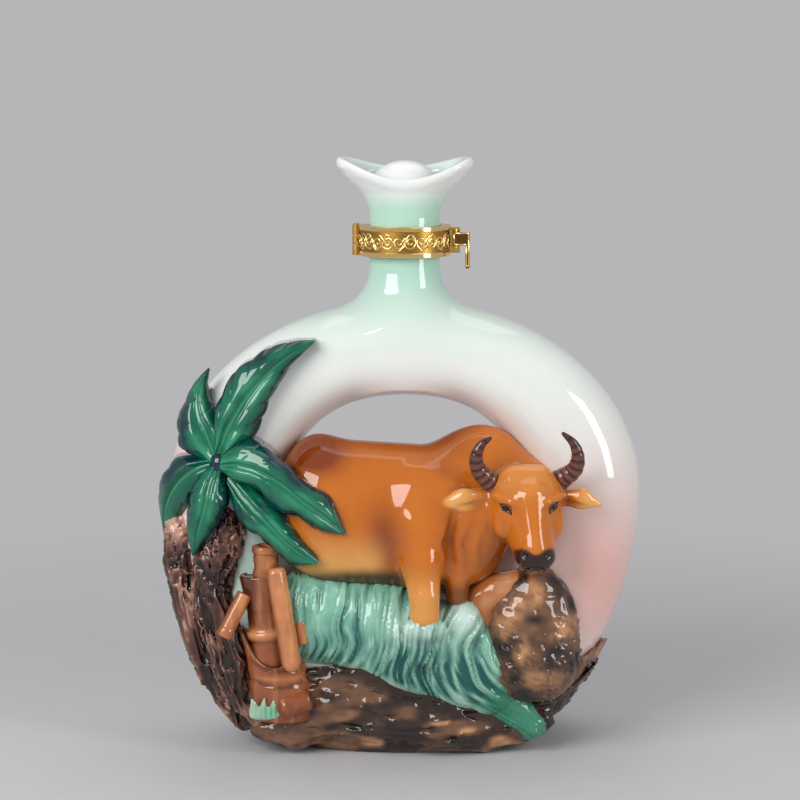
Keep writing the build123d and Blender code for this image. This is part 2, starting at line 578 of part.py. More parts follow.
def make_cap():
    """The ingot-shaped head with its dished top and dome, on a plain round skirt."""
    bottom = neck_top_z + gasket_thickness
    boat = level_loft(boat_shares, cap_waist_z - cap_wall / 2, cap_total_z,
                      cap_half_length, cap_half_depth)
    hollow = level_loft(hollow_shares, cap_floor_z, cap_total_z,
                        cap_half_length - cap_wall, cap_half_depth - cap_wall)
    rise = cap_tip_z - cap_rim_middle_z
    rim_radius = (cap_half_length ** 2 + rise ** 2) / (2 * rise)
    rim_cut = (Pos(0, 0, cap_rim_middle_z + rim_radius) * Rot(90 + cap_rim_tilt, 0, 0)
               * Cylinder(rim_radius, 4 * cap_half_depth))
    dome = level_loft(dome_shares, cap_floor_z, cap_total_z, dome_half_length, dome_half_depth)
    skirt = upright(cap_skirt_radius, bottom, cap_waist_z)
    socket = upright(plug_radius, bottom - overrun, bottom + plug_socket_depth)
    cap = ((boat - hollow - rim_cut) + dome + skirt) - socket
    plug = upright(plug_radius, bottom - plug_length, bottom + plug_socket_depth)
    done = {"ingot_cap": cap}
    for k, name in enumerate(("plug_seal_upper", "plug_seal_lower")):
        seal_z1 = neck_top_z - seal_pitch * (k + 1)
        seat_radius = plug_radius - seal_seat_depth
        plug = plug - pipe(plug_radius + overrun, seat_radius, seal_z1 - seal_height, seal_z1)
        done[name] = pipe(seal_radius, seat_radius, seal_z1 - seal_height, seal_z1)
    done["stopper_plug"] = plug
    return done


os.makedirs("parts", exist_ok=True)
flask, outer_form, foot_recess = make_flask()
ox_pieces = make_ox(outer_form)
land_pieces = make_ground(outer_form, ox_pieces, foot_recess)
bamboo_pieces = make_bamboo(outer_form, land_pieces)
palm_pieces = make_palm(outer_form, ox_pieces, land_pieces, bamboo_pieces)
land_pieces["grass_bank"] = comb(land_pieces["grass_bank"])
everything = {"flask_shell": flask, **ox_pieces, **land_pieces, **bamboo_pieces, **palm_pieces,
              **make_clamp(), **make_cap()}
for piece_name, piece in everything.items():
    put(piece_name, piece)
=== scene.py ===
"""Looks of the ring-shaped decanter: glazed ceramic figures, gilt clamp, studio light.

Sizes here are millimetres in the part's own frame; MM turns them into scene units.
"""

import math

import bpy
import numpy as np
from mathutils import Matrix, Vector


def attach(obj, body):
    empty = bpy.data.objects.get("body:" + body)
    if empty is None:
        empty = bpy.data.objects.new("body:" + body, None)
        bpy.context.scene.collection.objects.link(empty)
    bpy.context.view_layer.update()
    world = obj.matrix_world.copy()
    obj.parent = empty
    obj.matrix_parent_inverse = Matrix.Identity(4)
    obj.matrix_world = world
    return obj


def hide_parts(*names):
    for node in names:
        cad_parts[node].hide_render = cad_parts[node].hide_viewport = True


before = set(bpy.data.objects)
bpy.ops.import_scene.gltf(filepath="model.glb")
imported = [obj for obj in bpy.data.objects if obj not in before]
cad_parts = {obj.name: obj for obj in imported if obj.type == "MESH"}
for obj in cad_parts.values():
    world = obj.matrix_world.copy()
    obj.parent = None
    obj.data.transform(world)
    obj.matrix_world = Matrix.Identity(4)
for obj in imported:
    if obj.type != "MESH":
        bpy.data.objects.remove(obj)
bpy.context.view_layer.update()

MM = 0.001
# What a field reads well away from a skin
FAR = 1000.0

# Ring flask
RING_HALF_WIDTH, RING_RISE, RING_DROP, RING_CENTRE_Z = 120.5, 96.5, 147.0, 130.5
HOLE_HALF_WIDTH, HOLE_RISE, HOLE_DROP = 60.0, 50.0, 46.0
TUBE_DEPTH_TOP, TUBE_DEPTH_SIDE, TUBE_DEPTH_FOOT = 29.0, 36.0, 42.0
SECTION_FULLNESS = 2.3
WALL = 4.6
NECK_RADIUS, BORE_RADIUS, NECK_TOP_Z = 18.0, 15.0, 256.5
FLANGE_RADIUS, FLANGE_Z0, FLANGE_Z1 = 21.0, 251.6, 255.0
NECK_ROOT_Z, BORE_FOOT_Z, CAVITY_FOOT_Z = 190.0, 195.0, 185.0

# Camera, set to the photograph's angle
CAMERA_DISTANCE, CAMERA_ELEVATION, CAMERA_LENS = 1140.0, 8.0, 100.0
CAMERA_AIM = (-2.4, 0.0, 175.5)


# Shape maths on arrays of points

def blend(a, b, width):
    """Union of two fields with a soft fillet of that width."""
    h = np.clip(0.5 + 0.5 * (b - a) / width, 0, 1)
    return b + (a - b) * h - width * h * (1 - h)


def carve(a, b, width):
    """Field a with b taken out and the edge softened."""
    return -blend(-a, b, width)


def ball(p, centre, radii):
    q = p - np.array(centre)
    r = np.array(radii, float) * np.ones(3)
    far = np.linalg.norm(q / r, axis=1)
    return far * (far - 1) / np.maximum(np.linalg.norm(q / (r * r), axis=1), 1e-6)


def bone(p, start, end, r0, r1, flat=(1, 1, 1)):
    """A tapering round bar from start to end; flat squeezes it along an axis."""
    s = np.array(flat, float)
    a, b = np.array(start) / s, np.array(end) / s
    q, d = p / s - a, b - a
    t = np.clip(q @ d / (d @ d), 0, 1)
    away = np.linalg.norm(q - t[:, None] * d, axis=1)
    return (away - (r0 + (r1 - r0) * t)) * min(flat)


def chain(p, stations):
    """Bars through stations (x, y, z, radius)."""
    return np.minimum.reduce([bone(p, a[:3], b[:3], a[3], b[3])
                              for a, b in zip(stations, stations[1:])])


def smoothstep(low, high, x):
    t = np.clip((x - low) / (high - low), 0, 1)
    return t * t * (3 - 2 * t)


def bump(x, middle, width):
    """1 at the middle, fading over the width on both sides."""
    return np.exp(-((x - middle) / width) ** 2)


def haze(x, z, cx, cz, rx, rz):
    """Soft patch seen from the front: 1 at its middle, fading over rx and rz."""
    return np.exp(-(((x - cx) / rx) ** 2 + ((z - cz) / rz) ** 2))


def curve(x, table):
    """A value read off a table of (place, value)."""
    return np.interp(x, *zip(*table))


def grade(full):
    return full


def lattice(cells, seed):
    """Pseudo-random value per integer cell."""
    n = cells[:, 0] * 374761393 + cells[:, 1] * 668265263 + cells[:, 2] * 2147483647 + seed * 974711
    n = (n ^ (n >> 13)) * 1274126177
    return ((n ^ (n >> 16)) & 0xFFFF) / 65535.0


def cloud(p, size, seed=0):
    """Smooth value noise from 0 to 1 whose lumps are about size across."""
    q = p / size
    base = np.floor(q).astype(np.int64)
    f = q - base
    f = f * f * (3 - 2 * f)
    total = np.zeros(len(p))
    for i in (0, 1):
        for j in (0, 1):
            for k in (0, 1):
                share = (np.where(i, f[:, 0], 1 - f[:, 0]) * np.where(j, f[:, 1], 1 - f[:, 1])
                         * np.where(k, f[:, 2], 1 - f[:, 2]))
                total += share * lattice(base + np.array([i, j, k]), seed)
    return total


def sculpt(field, low, high, step):
    """Skin of the region where field is negative, as vertices and quads."""
    block = 4
    low, high = np.array(low, float), np.array(high, float)
    cells = np.ceil((high - low) / step / block).astype(int)
    count = cells * block + 1
    value = np.full(count, FAR)
    corner = np.stack(np.meshgrid(*[np.arange(n) for n in cells], indexing="ij"), -1).reshape(-1, 3)
    centre = low + (corner + 0.5) * block * step
    near = field(centre)
    reach = block * step * 1.5
    for i, j, k in corner[near < -reach] * block:
        value[i:i + block + 1, j:j + block + 1, k:k + block + 1] = -FAR
    busy = corner[np.abs(near) <= reach]
    offset = np.stack(np.meshgrid(*[np.arange(block + 1)] * 3, indexing="ij"), -1).reshape(-1, 3)
    index = np.unique((busy[:, None, :] * block + offset).reshape(-1, 3) @
                      np.array([count[1] * count[2], count[2], 1]))
    where = np.stack(np.unravel_index(index, count), -1)
    value[tuple(where.T)] = field(low + where * step)
    inside = value < 0
    n = count - 1
    total = np.zeros(n, int)
    shifts = [(i, j, k) for i in (0, 1) for j in (0, 1) for k in (0, 1)]
    for i, j, k in shifts:
        total += inside[i:n[0] + i, j:n[1] + j, k:n[2] + k]
    active = (total > 0) & (total < 8)
    cell = np.argwhere(active)
    number = np.full(n, -1)
    number[active] = np.arange(len(cell))
    corners = {s: value[tuple((cell + np.array(s)).T)] for s in shifts}
    place, hits = np.zeros((len(cell), 3)), np.zeros(len(cell))
    for s in shifts:
        for axis in range(3):
            if s[axis]:
                continue
            e = tuple(1 if a == axis else s[a] for a in range(3))
            crossed = (corners[s] < 0) != (corners[e] < 0)
            t = np.where(crossed, corners[s] / np.where(crossed, corners[s] - corners[e], 1), 0)
            spot = np.array(s)[None, :] + t[:, None] * (np.array(e) - np.array(s))
            place += spot * crossed[:, None]
            hits += crossed
    verts = low + (cell + place / hits[:, None]) * step
    quads = []
    for axis in range(3):
        u, v = (axis + 1) % 3, (axis + 2) % 3
        ahead = np.roll(inside, -1, axis)
        edge = np.argwhere(inside != ahead)
        edge = edge[(edge[:, axis] < n[axis]) & (edge[:, u] > 0) & (edge[:, v] > 0)
                    & (edge[:, u] < n[u]) & (edge[:, v] < n[v])]
        ring = []
        for du, dv in ((-1, -1), (0, -1), (0, 0), (-1, 0)):
            c = edge.copy()
            c[:, u] += du
            c[:, v] += dv
            ring.append(number[tuple(c.T)])
        quad = np.stack(ring, -1)
        flip = ~inside[tuple(edge.T)]
        quad[flip] = quad[flip][:, ::-1]
        quads.append(quad)
    quads = np.concatenate(quads)
    for _ in range(3):
        f, g = field(verts), slope(field, verts, step * 0.2)
        move = (f / np.maximum((g * g).sum(1), 0.05))[:, None] * g
        verts = verts - np.clip(move, -step * 0.5, step * 0.5)
    return verts, quads


def slope(field, p, step):
    g = np.zeros_like(p)
    for axis in range(3):
        d = np.zeros(3)
        d[axis] = step
        g[:, axis] = (field(p + d) - field(p - d)) / (2 * step)
    return g


def hollows(field, verts, reach):
    """How far each point sits in a hollow: 0 on open skin, towards 1 in a crease."""
    g = slope(field, verts, 0.3)
    normal = g / np.maximum(np.linalg.norm(g, axis=1), 1e-6)[:, None]
    return np.clip(0.5 - 0.5 * field(verts + normal * reach) / reach, 0, 1) * 2


# Pieces

def piece(name, verts, faces, body, nodes, slot, material, smooth=True, **masks):
    """A mesh in millimetres, made a piece that rides on a body and replaces CAD nodes."""
    mesh = bpy.data.meshes.new(name)
    mesh.from_pydata((np.asarray(verts) * MM).tolist(), [],
                     faces if isinstance(faces, list) else faces.tolist())
    mesh.validate()
    mesh.polygons.foreach_set("use_smooth", [smooth] * len(mesh.polygons))
    for mask, values in masks.items():
        layer = mesh.attributes.new(mask, "FLOAT", "POINT")
        layer.data.foreach_set("value", np.clip(values, 0, 1).astype(np.float32))
    mesh.materials.append(material)
    obj = bpy.data.objects.new(name, mesh)
    bpy.context.scene.collection.objects.link(obj)
    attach(obj, body)
    if nodes:
        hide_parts(*nodes)
    return obj


def add_node(tree, kind, inputs=(), **settings):
    """A new node; each input named gets a value, or a link where it is given an output."""
    made = tree.nodes.new(kind)
    for name, value in settings.items():
        setattr(made, name, value)
    for key, value in dict(inputs).items():
        if isinstance(value, bpy.types.NodeSocket):
            tree.links.new(value, made.inputs[key])
        else:
            made.inputs[key].default_value = value
    return made


def new_material(name):
    material = bpy.data.materials.new(name)
    material.use_nodes = True
    return material, material.node_tree, material.node_tree.nodes["Principled BSDF"]


def grain(tree, size, detail):
    """Fine noise fixed to the piece."""
    coords = add_node(tree, "ShaderNodeTexCoord").outputs["Object"]
    return add_node(tree, "ShaderNodeTexNoise",
                    {"Vector": coords, "Scale": size, "Detail": detail}).outputs["Fac"]


GLAZE_IOR = 1.57


def glaze(name, light, pooled, washed, marked=None, rough=0.07, fine=0.05, fine_size=260.0):
    """Glossy glaze: light on ridges, darker where it pools in hollows and where shade is painted, with a
    wash and painted marks.
    """
    material, tree, shader = new_material(name)
    shader.inputs["Roughness"].default_value = rough
    shader.inputs["IOR"].default_value = GLAZE_IOR
    colour = (*light, 1)
    for mask, tone in (("pool", pooled), ("wash", washed), ("mark", marked)):
        if tone:
            layer = add_node(tree, "ShaderNodeAttribute", attribute_name=mask)
            colour = add_node(tree, "ShaderNodeMix", {"Factor": layer.outputs["Fac"], 6: colour,
                                                      7: (*tone, 1)}, data_type="RGBA").outputs[2]
    spread = add_node(tree, "ShaderNodeMapRange",
                      {"Value": grain(tree, fine_size, 3), "From Min": 0.3, "From Max": 0.7,
                       "To Min": 1 - fine, "To Max": 1 + fine})
    shaded = add_node(tree, "ShaderNodeVectorMath",
                      {0: colour, "Scale": spread.outputs["Result"]}, operation="SCALE")
    tree.links.new(shaded.outputs["Vector"], shader.inputs["Base Color"])
    return material


def mottled(name, colour, rough, size, contrast, metallic=0):
    """One colour that varies a little in tone and in polish, at a given grain."""
    material, tree, shader = new_material(name)
    shader.inputs["Metallic"].default_value = metallic
    specks = grain(tree, size, 4)
    low, high = ([min(1, c * k) for c in colour] + [1] for k in (1 - contrast, 1 + contrast))
    tone = add_node(tree, "ShaderNodeMix", {"Factor": specks, 6: low, 7: high}, data_type="RGBA")
    polish = add_node(tree, "ShaderNodeMapRange",
                      {"Value": specks, "To Min": rough * 0.7, "To Max": rough * 1.3})
    tree.links.new(tone.outputs[2], shader.inputs["Base Color"])
    tree.links.new(polish.outputs["Result"], shader.inputs["Roughness"])
    return material


# Flask

def ring_coordinates(p):
    """Share across the tube (-1 inner, 1 outer), half width and half depth at each point."""
    x, z = np.abs(p[:, 0]), p[:, 2] - RING_CENTRE_Z
    up = z >= 0
    rise = np.where(up, RING_RISE, RING_DROP)
    hole = np.where(up, HOLE_RISE, HOLE_DROP)
    lo, hi = np.full(len(p), -0.95), np.full(len(p), 3.0)
    for _ in range(26):
        u = (lo + hi) / 2
        a = HOLE_HALF_WIDTH + (RING_HALF_WIDTH - HOLE_HALF_WIDTH) * u
        b = hole + (rise - hole) * u
        outside = (x / a) ** 2 + (z / np.maximum(b, 1e-3)) ** 2 > 1
        lo, hi = np.where(outside, u, lo), np.where(outside, hi, u)
    c, s = x / a, np.abs(z) / np.maximum(b, 1e-3)
    half = np.hypot((RING_HALF_WIDTH - HOLE_HALF_WIDTH) * c, (rise - hole) * s) / 2
    end = np.where(up, TUBE_DEPTH_TOP, TUBE_DEPTH_FOOT)
    depth = TUBE_DEPTH_SIDE + (end - TUBE_DEPTH_SIDE) * np.clip(s, 0, 1) ** 1.5
    return 2 * u - 1, half, depth


def ring_field(p, inset=0.0):
    across, half, depth = ring_coordinates(p)
    n = SECTION_FULLNESS
    far = (np.abs(across * half / (half - inset)) ** n
           + np.abs(p[:, 1] / (depth - inset)) ** n) ** (1 / n)
    return (far - 1) * np.minimum(half, depth)


def flask_field(p):
    ring = ring_field(p)
    around = np.hypot(p[:, 0], p[:, 1])
    neck = np.maximum(around - NECK_RADIUS, np.maximum(p[:, 2] - NECK_TOP_Z, NECK_ROOT_Z - p[:, 2]))
    body = blend(ring, neck, 20.0)
    flange = np.maximum(around - FLANGE_RADIUS, np.abs(p[:, 2] - (FLANGE_Z0 + FLANGE_Z1) / 2)
                        - (FLANGE_Z1 - FLANGE_Z0) / 2)
    body = blend(body, flange, 0.8)
    bore = np.maximum(around - BORE_RADIUS, BORE_FOOT_Z - p[:, 2])
    inner = ring_field(p, WALL)
    body = carve(body, np.minimum(bore, np.maximum(inner, CAVITY_FOOT_Z - p[:, 2])), 1.5)
    return carve(body, p[:, 2], 2.5)


def make_flask():
    verts, faces = sculpt(flask_field, (-126, -47, -4), (126, 47, 260), grade(1.5))
    material = glaze("white_glaze", (0.80, 0.80, 0.77), (0.70, 0.72, 0.69), (0.42, 0.66, 0.54),
                     (0.73, 0.39, 0.34), rough=0.06, fine=0.0)
    x, y, z = verts.T
    mint = (smoothstep(205, 262, z) * 0.9 + 0.35 * smoothstep(95, 60, np.abs(x - 20))
            * smoothstep(190, 225, z) * 0.6)
    patch = haze(x, z, 98, 90, 34, 50)
    left = haze(x, z, -118, 140, 16, 26)
    across, _, _ = ring_coordinates(verts)
    rim = smoothstep(-0.45, -1.0, across) * smoothstep(120, 150, z)
    rose = np.clip(0.92 * patch + 0.7 * left + 0.28 * rim, 0, 1)
    beside_trunk = haze(x, z, -74, 92, 14, 26) * (y < 0)
    mint = mint + 0.10 * smoothstep(150, 190, z) * (across > 0) + 0.06 + 0.8 * beside_trunk
    mint = mint * (1 - 0.8 * rose)
    return piece("flask_glaze", verts, faces, "bottle", ["flask_shell"], "glaze_ring", material,
                 pool=np.zeros(len(verts)), wash=mint, mark=rose)


# Ox

def ox_field(p):
    body = bone(p, (-30, -26, 121.5), (14, -28, 119.5), 37.5, 37, (1, 0.76, 1))
    body = blend(body, ball(p, (-44, -24, 130), (18.5, 24, 31)), 8)
    body = blend(body, ball(p, (38, -22, 141), (25, 19, 25)), 10)
    body = blend(body, ball(p, (58, -29, 133), (20, 15, 17.5)), 10)
    body = blend(body, ball(p, (-42, -38, 120), (16, 11, 26)), 9)
    body = blend(body, ball(p, (7, -43, 122), (16.5, 13.5, 26)), 6)
    body = blend(body, ball(p, (31, -38, 111), (19.5, 14, 23)), 8)
    body = blend(body, bone(p, (38, -34, 124), (57, -45, 131), 19, 14), 8)
    for start, end, r0, r1 in NECK_FOLDS:
        body = carve(body, bone(p, start, end, r0, r1), 3.2)
    leg = bone(p, (7, -46, 120), (8, -50, 102), 13, 11)
    leg = blend(leg, bone(p, (8, -50, 102), (9.6, -55, 87), 10.6, 7.8), 3)
    leg = blend(leg, ball(p, (10.2, -57.5, 84.5), (6.6, 5.4, 5.2)), 2)
    leg = blend(leg, bone(p, (9.6, -55, 87), (10.0, -56, 75.5), 7.4, 7.6), 2)
    body = blend(body, leg, 3.0)
    other = bone(p, (26, -43, 98), (25.8, -46, 84), 7.5, 5.6)
    return blend(body, other, 3.0)


NECK_FOLDS = (((25.0, -55, 128), (21.0, -54, 112), 1.0, 2.0),
              ((21.0, -54, 112), (23.5, -52.0, 94), 2.0, 2.2),
              ((35.0, -56.5, 126), (31.0, -55.6, 112), 0.8, 1.5),
              ((31.0, -55.6, 112), (32.5, -53.2, 97), 1.5, 1.6),
              ((42.5, -57, 121), (39.0, -54.8, 108), 0.7, 1.2),
              ((39.0, -54.8, 108), (40.5, -52.0, 98), 1.2, 1.2),
              ((48.5, -56, 112), (46.0, -52.5, 102), 0.7, 1.0),
              ((30, -44, 156), (46, -50, 143), 1.2, 0.9),
              ((50, -40, 156), (60, -46, 149), 1.0, 0.8))


def head_field(p):
    skull = ball(p, (60.0, -49, 135.5), (18.2, 14, 13.8))
    skull = blend(skull, bone(p, (60.2, -52, 130), (63.2, -61, 114), 16, 10.2), 6)
    skull = blend(skull, ball(p, (63.7, -66, 107.4), (9.7, 7.8, 6.9)), 4)
    skull = blend(skull, bone(p, (60.2, -47, 122), (63.4, -58, 105), 14.5, 8), 5)
    skull = blend(skull, bone(p, (61.2, -61, 136), (63.3, -69, 113), 6.4, 5.4), 6)
    skull = blend(skull, bone(p, (53, -53, 145.5), (67, -53, 145.8), 4, 4), 6)
    for side in (-1, 1):
        x = 60.6 + side * 12.2
        brow = bone(p, (x - side * 3, -64.6, 134.2), (x + side * 4, -58.5, 136.6), 1.9, 1.5)
        skull = blend(skull, brow, 3)
        skull = blend(skull, ball(p, (x + side * 1.0, -56, 122), (4.0, 4.5, 6.5)), 5)
        skull = carve(skull, ball(p, (x + side * 0.8, -68.2, 130.6), (5.0, 4.4, 3.2)), 2.0)
        cheek = bone(p, (61.6 + side * 8.6, -70.5, 126), (63 + side * 8.2, -72.5, 116), 1.8, 1.4)
        skull = carve(skull, cheek, 3)
    for x in (57.8, 69.2):
        skull = carve(skull, ball(p, (x, -73.6, 109.4), (1.8, 2.2, 1.2)), 1.0)
    mouth = np.maximum(np.abs(p[:, 2] - 103.2 + 0.03 * (p[:, 0] - 63.7) ** 2) - 0.25,
                       p[:, 1] + 66)
    return carve(skull, mouth, 0.8)


def ear_field(p):
    field = None
    for root, bend, tip, sign in (((43.5, -50, 133.6), (29, -53, 133.7), (17.6, -54, 131), -1),
                                  ((78, -49, 133.6), (87.5, -51.5, 133.5), (96.5, -52.5, 130.6), 1)):
        ear = bone(p, root, bend, 4.0, 4.6, (1, 0.6, 1))
        ear = blend(ear, bone(p, bend, tip, 4.5, 0.9, (1, 0.6, 1)), 2)
        inner = np.array([0, -3.6, -1.6])
        ear = carve(ear, bone(p, np.array(root) + inner, np.array(tip) + inner + (-sign * 5, 0.6, 0),
                              2.2, 1.0), 1.4)
        field = ear if field is None else np.minimum(field, ear)
    return field


def whole_ox(p):
    return blend(blend(ox_field(p), head_field(p), 2.5), ear_field(p), 1.6)


def make_ox():
    verts, faces = sculpt(whole_ox, (-70, -80, 62), (100, 10, 172), grade(0.85))
    x, y, z = verts.T
    crease = hollows(whole_ox, verts, 3.0)
    # Darker rust on the upper back, mottling and a dark patch on the rump, with painted shade behind the
    # elbow and beside the near foreleg; the chest is also darker underneath.
    dark_tone_and_shade = 0.45 * smoothstep(136, 160, z) * smoothstep(45, 20, x) * smoothstep(-70, -40, x)
    dark_tone_and_shade = dark_tone_and_shade + 0.9 * haze(x, z, -10, 112, 9, 18)
    dark_tone_and_shade = dark_tone_and_shade + 0.65 * haze(x, z, 23, 112, 5, 17)
    dark_tone_and_shade = dark_tone_and_shade + 0.7 * haze(x, z, 46, 98, 9, 12) * (y < -30)
    dark_tone_and_shade = dark_tone_and_shade + 0.8 * haze(x, z, -45, 154, 13, 8)
    dark_tone_and_shade = dark_tone_and_shade + 0.75 * (cloud(verts, 22, 81) - 0.3) * smoothstep(116, 132, z) * (x < 40)
    belly = smoothstep(120, 96, z) * smoothstep(-4, -18, x)
    leg = smoothstep(104, 84, z) * smoothstep(22, 16, x) * smoothstep(-8, 0, x) * 0.6
    ears = smoothstep(0.9, 0.0, np.abs(ear_field(verts)))
    ears = ears * np.where(x < 60, smoothstep(42, 24, x), smoothstep(80, 92, x)) * 0.9
    near_head = smoothstep(3, 0.2, np.abs(head_field(verts)))
    brow = near_head * smoothstep(130, 146, z) * 0.3
    fold = smoothstep(0.15, -0.3, crease) * smoothstep(20, 26, x) * smoothstep(125, 110, z) * 0.4
    under = (1.2 * smoothstep(100, 92.5, z + 0.0015 * (x + 10) ** 2) * smoothstep(2, -4, x)
             + 0.85 * smoothstep(94, 86, z) * (x > 17))
    muzzle = smoothstep(112.5, 110.8, z + 1.2 * np.cos((x - 63.5) * 0.52)) * smoothstep(-60, -63, y)
    muzzle = muzzle * smoothstep(52.5, 54, x)
    material = glaze("ox_glaze", (0.56, 0.150, 0.010), (0.21, 0.034, 0.003), (0.76, 0.38, 0.10),
                     (0.022, 0.006, 0.004), rough=0.06, fine=0.03)
    return piece("ox", verts, faces, "bottle",
                 ["ox_torso", "ox_head", "ox_ear_left", "ox_ear_right", "ox_near_foreleg",
                  "ox_far_foreleg"], "glaze_ox", material,
                 pool=np.maximum(crease - 0.05, dark_tone_and_shade),
                 wash=np.maximum.reduce([belly, leg, ears, brow, fold]),
                 mark=np.maximum(muzzle, under * 0.75))


# Horns and eyes

def spline_points(stations, count):
    """Points evenly spread by parameter on a smooth curve through the stations."""
    s = np.array(stations, float)
    s = np.vstack([2 * s[0] - s[1], s, 2 * s[-1] - s[-2]])
    spans = len(s) - 3
    out = []
    for u in np.linspace(0, spans, count):
        i = min(int(u), spans - 1)
        t = u - i
        a, b, c, d = s[i:i + 4]
        out.append(0.5 * (2 * b + (c - a) * t + (2 * a - 5 * b + 4 * c - d) * t * t
                          + (3 * b - a - 3 * c + d) * t ** 3))
    return np.array(out)


def along(points):
    """Unit directions of a row of points."""
    d = np.gradient(points, axis=0)
    return d / np.linalg.norm(d, axis=1)[:, None]


def tube_mesh(points, radii, sides=24):
    """A closed tube through points, with its ends drawn in to a point each."""
    direction = along(points)
    up = np.array([0.0, 1.0, 0.0])
    verts, faces = [], []
    turns = np.linspace(0, 2 * math.pi, sides, endpoint=False)
    for p, d, r in zip(points, direction, radii):
        side = np.cross(d, up)
        side /= np.linalg.norm(side)
        lift = np.cross(side, d)
        for a in turns:
            verts.append(p + side * (math.cos(a) * r) + lift * (math.sin(a) * r))
    rows = len(points)
    for i in range(rows - 1):
        for j in range(sides):
            k = (j + 1) % sides
            faces.append([i * sides + j, (i + 1) * sides + j, (i + 1) * sides + k, i * sides + k])
    verts.append(points[0] - direction[0] * radii[0] * 0.3)
    verts.append(points[-1] + direction[-1] * radii[-1] * 0.6)
    for j in range(sides):
        k = (j + 1) % sides
        faces.append([rows * sides, j, k])
        faces.append([rows * sides + 1, (rows - 1) * sides + k, (rows - 1) * sides + j])
    return verts, faces


HORNS = {"horn_left": [(46.0, -48, 138.5), (42.0, -50.5, 142.0), (36.6, -54, 148), (34.8, -57, 155),
                       (37.3, -58, 161.5), (42.2, -58, 165.2)],
         "horn_right": [(74.8, -46, 140.5), (78.0, -48.5, 143.5), (83.2, -53, 148.5), (84.7, -56, 155.2),
                        (82.4, -57, 162), (76.8, -57, 167.4)]}
HORN_ROOT, HORN_TIP, HORN_RINGS = 5.3, 0.7, 11
HORN_POINTS, HORN_SIDES = 150, 32


def make_horns():
    material = glaze("horn_glaze", (0.075, 0.024, 0.018), (0.010, 0.005, 0.005),
                     (0.36, 0.13, 0.085), rough=0.06, fine=0.1)
    t = np.linspace(0, 1, HORN_POINTS)
    ring = np.abs(np.sin(math.pi * HORN_RINGS * t ** 0.8))
    radii = HORN_ROOT * (1 - t) ** 0.7 + HORN_TIP
    radii = radii * (0.9 + 0.12 * ring * (1 - t * 0.7))
    ridge = np.append(np.repeat(ring, HORN_SIDES), [0, 0])
    level = np.append(np.repeat(t, HORN_SIDES), [0, 1])
    for name, stations in HORNS.items():
        verts, faces = tube_mesh(spline_points(stations, HORN_POINTS), radii, HORN_SIDES)
        piece(name, verts, faces, "bottle", [f"ox_{name}"], "glaze_horn", material,
              pool=1 - ridge, wash=ridge * (1 - level) * 0.55)


def on_skin(field, x, z, start=-90.0):
    """The front-most y of a field at a place seen from the front."""
    y = np.linspace(start, -20, 1400)
    f = field(np.stack([np.full(len(y), x), y, np.full(len(y), z)], -1))
    inside = np.argmax(f < 0)
    return y[inside]


# Place and slant of each eye, then lift, width and size of its painted lines
EYES = (("eye_left", 48.9, 130.5, -0.72), ("eye_right", 73.1, 131.1, 0.82))
EYE_LINES = ((1.15, 0.60, 1.15), (-0.6, 0.28, 1.0), (2.1, 0.22, 1.25))
EYE_HALF_WIDTH, EYE_ARCH, PUPIL_SIDES = 3.1, 1.35, 28


def make_eyes():
    black = mottled("painted_black", (0.012, 0.009, 0.008), 0.12, 900, 0.2)
    for name, cx, cz, turn in EYES:
        lines = []
        for lift, width, size in EYE_LINES:
            rows = []
            for s in np.linspace(-1, 1, 17):
                dx, dz = EYE_HALF_WIDTH * s * size, EYE_ARCH * lift * (1 - s * s)
                x = cx + dx * math.cos(turn) - dz * math.sin(turn)
                z = cz + dx * math.sin(turn) + dz * math.cos(turn)
                rows.append((x, on_skin(head_field, x, z) - 0.1, z))
            lines.append((np.array(rows), width))
        verts, faces = [], []
        for rows, width in lines:
            radii = width * (0.35 + 0.65 * np.sin(np.linspace(0.15, 3.0, len(rows))))
            v, f = tube_mesh(rows, radii, 10)
            faces += [[i + len(verts) for i in quad] for quad in f]
            verts += list(v)
        turns = np.linspace(0, 2 * math.pi, PUPIL_SIDES, endpoint=False)
        top = len(verts)
        for r in (1.0, 0.85, 0.45):
            for a in turns:
                x, z = cx + 1.75 * r * math.cos(a), cz + 0.35 + 1.6 * r * math.sin(a)
                verts.append(np.array([x, on_skin(head_field, x, z) - 0.55 * (1 - r * r) - 0.08, z]))
        verts.append(np.array([cx, on_skin(head_field, cx, cz) - 0.75, cz + 0.35]))
        inner = top + 2 * PUPIL_SIDES
        for ring in range(top, inner, PUPIL_SIDES):
            for j in range(PUPIL_SIDES):
                k = (j + 1) % PUPIL_SIDES
                faces.append([ring + j, ring + k, ring + PUPIL_SIDES + k, ring + PUPIL_SIDES + j])
        for j in range(PUPIL_SIDES):
            faces.append([inner + j, inner + (j + 1) % PUPIL_SIDES, inner + PUPIL_SIDES])
        piece(name, verts, faces, "bottle", [], "glaze_horn", black)


# Palm

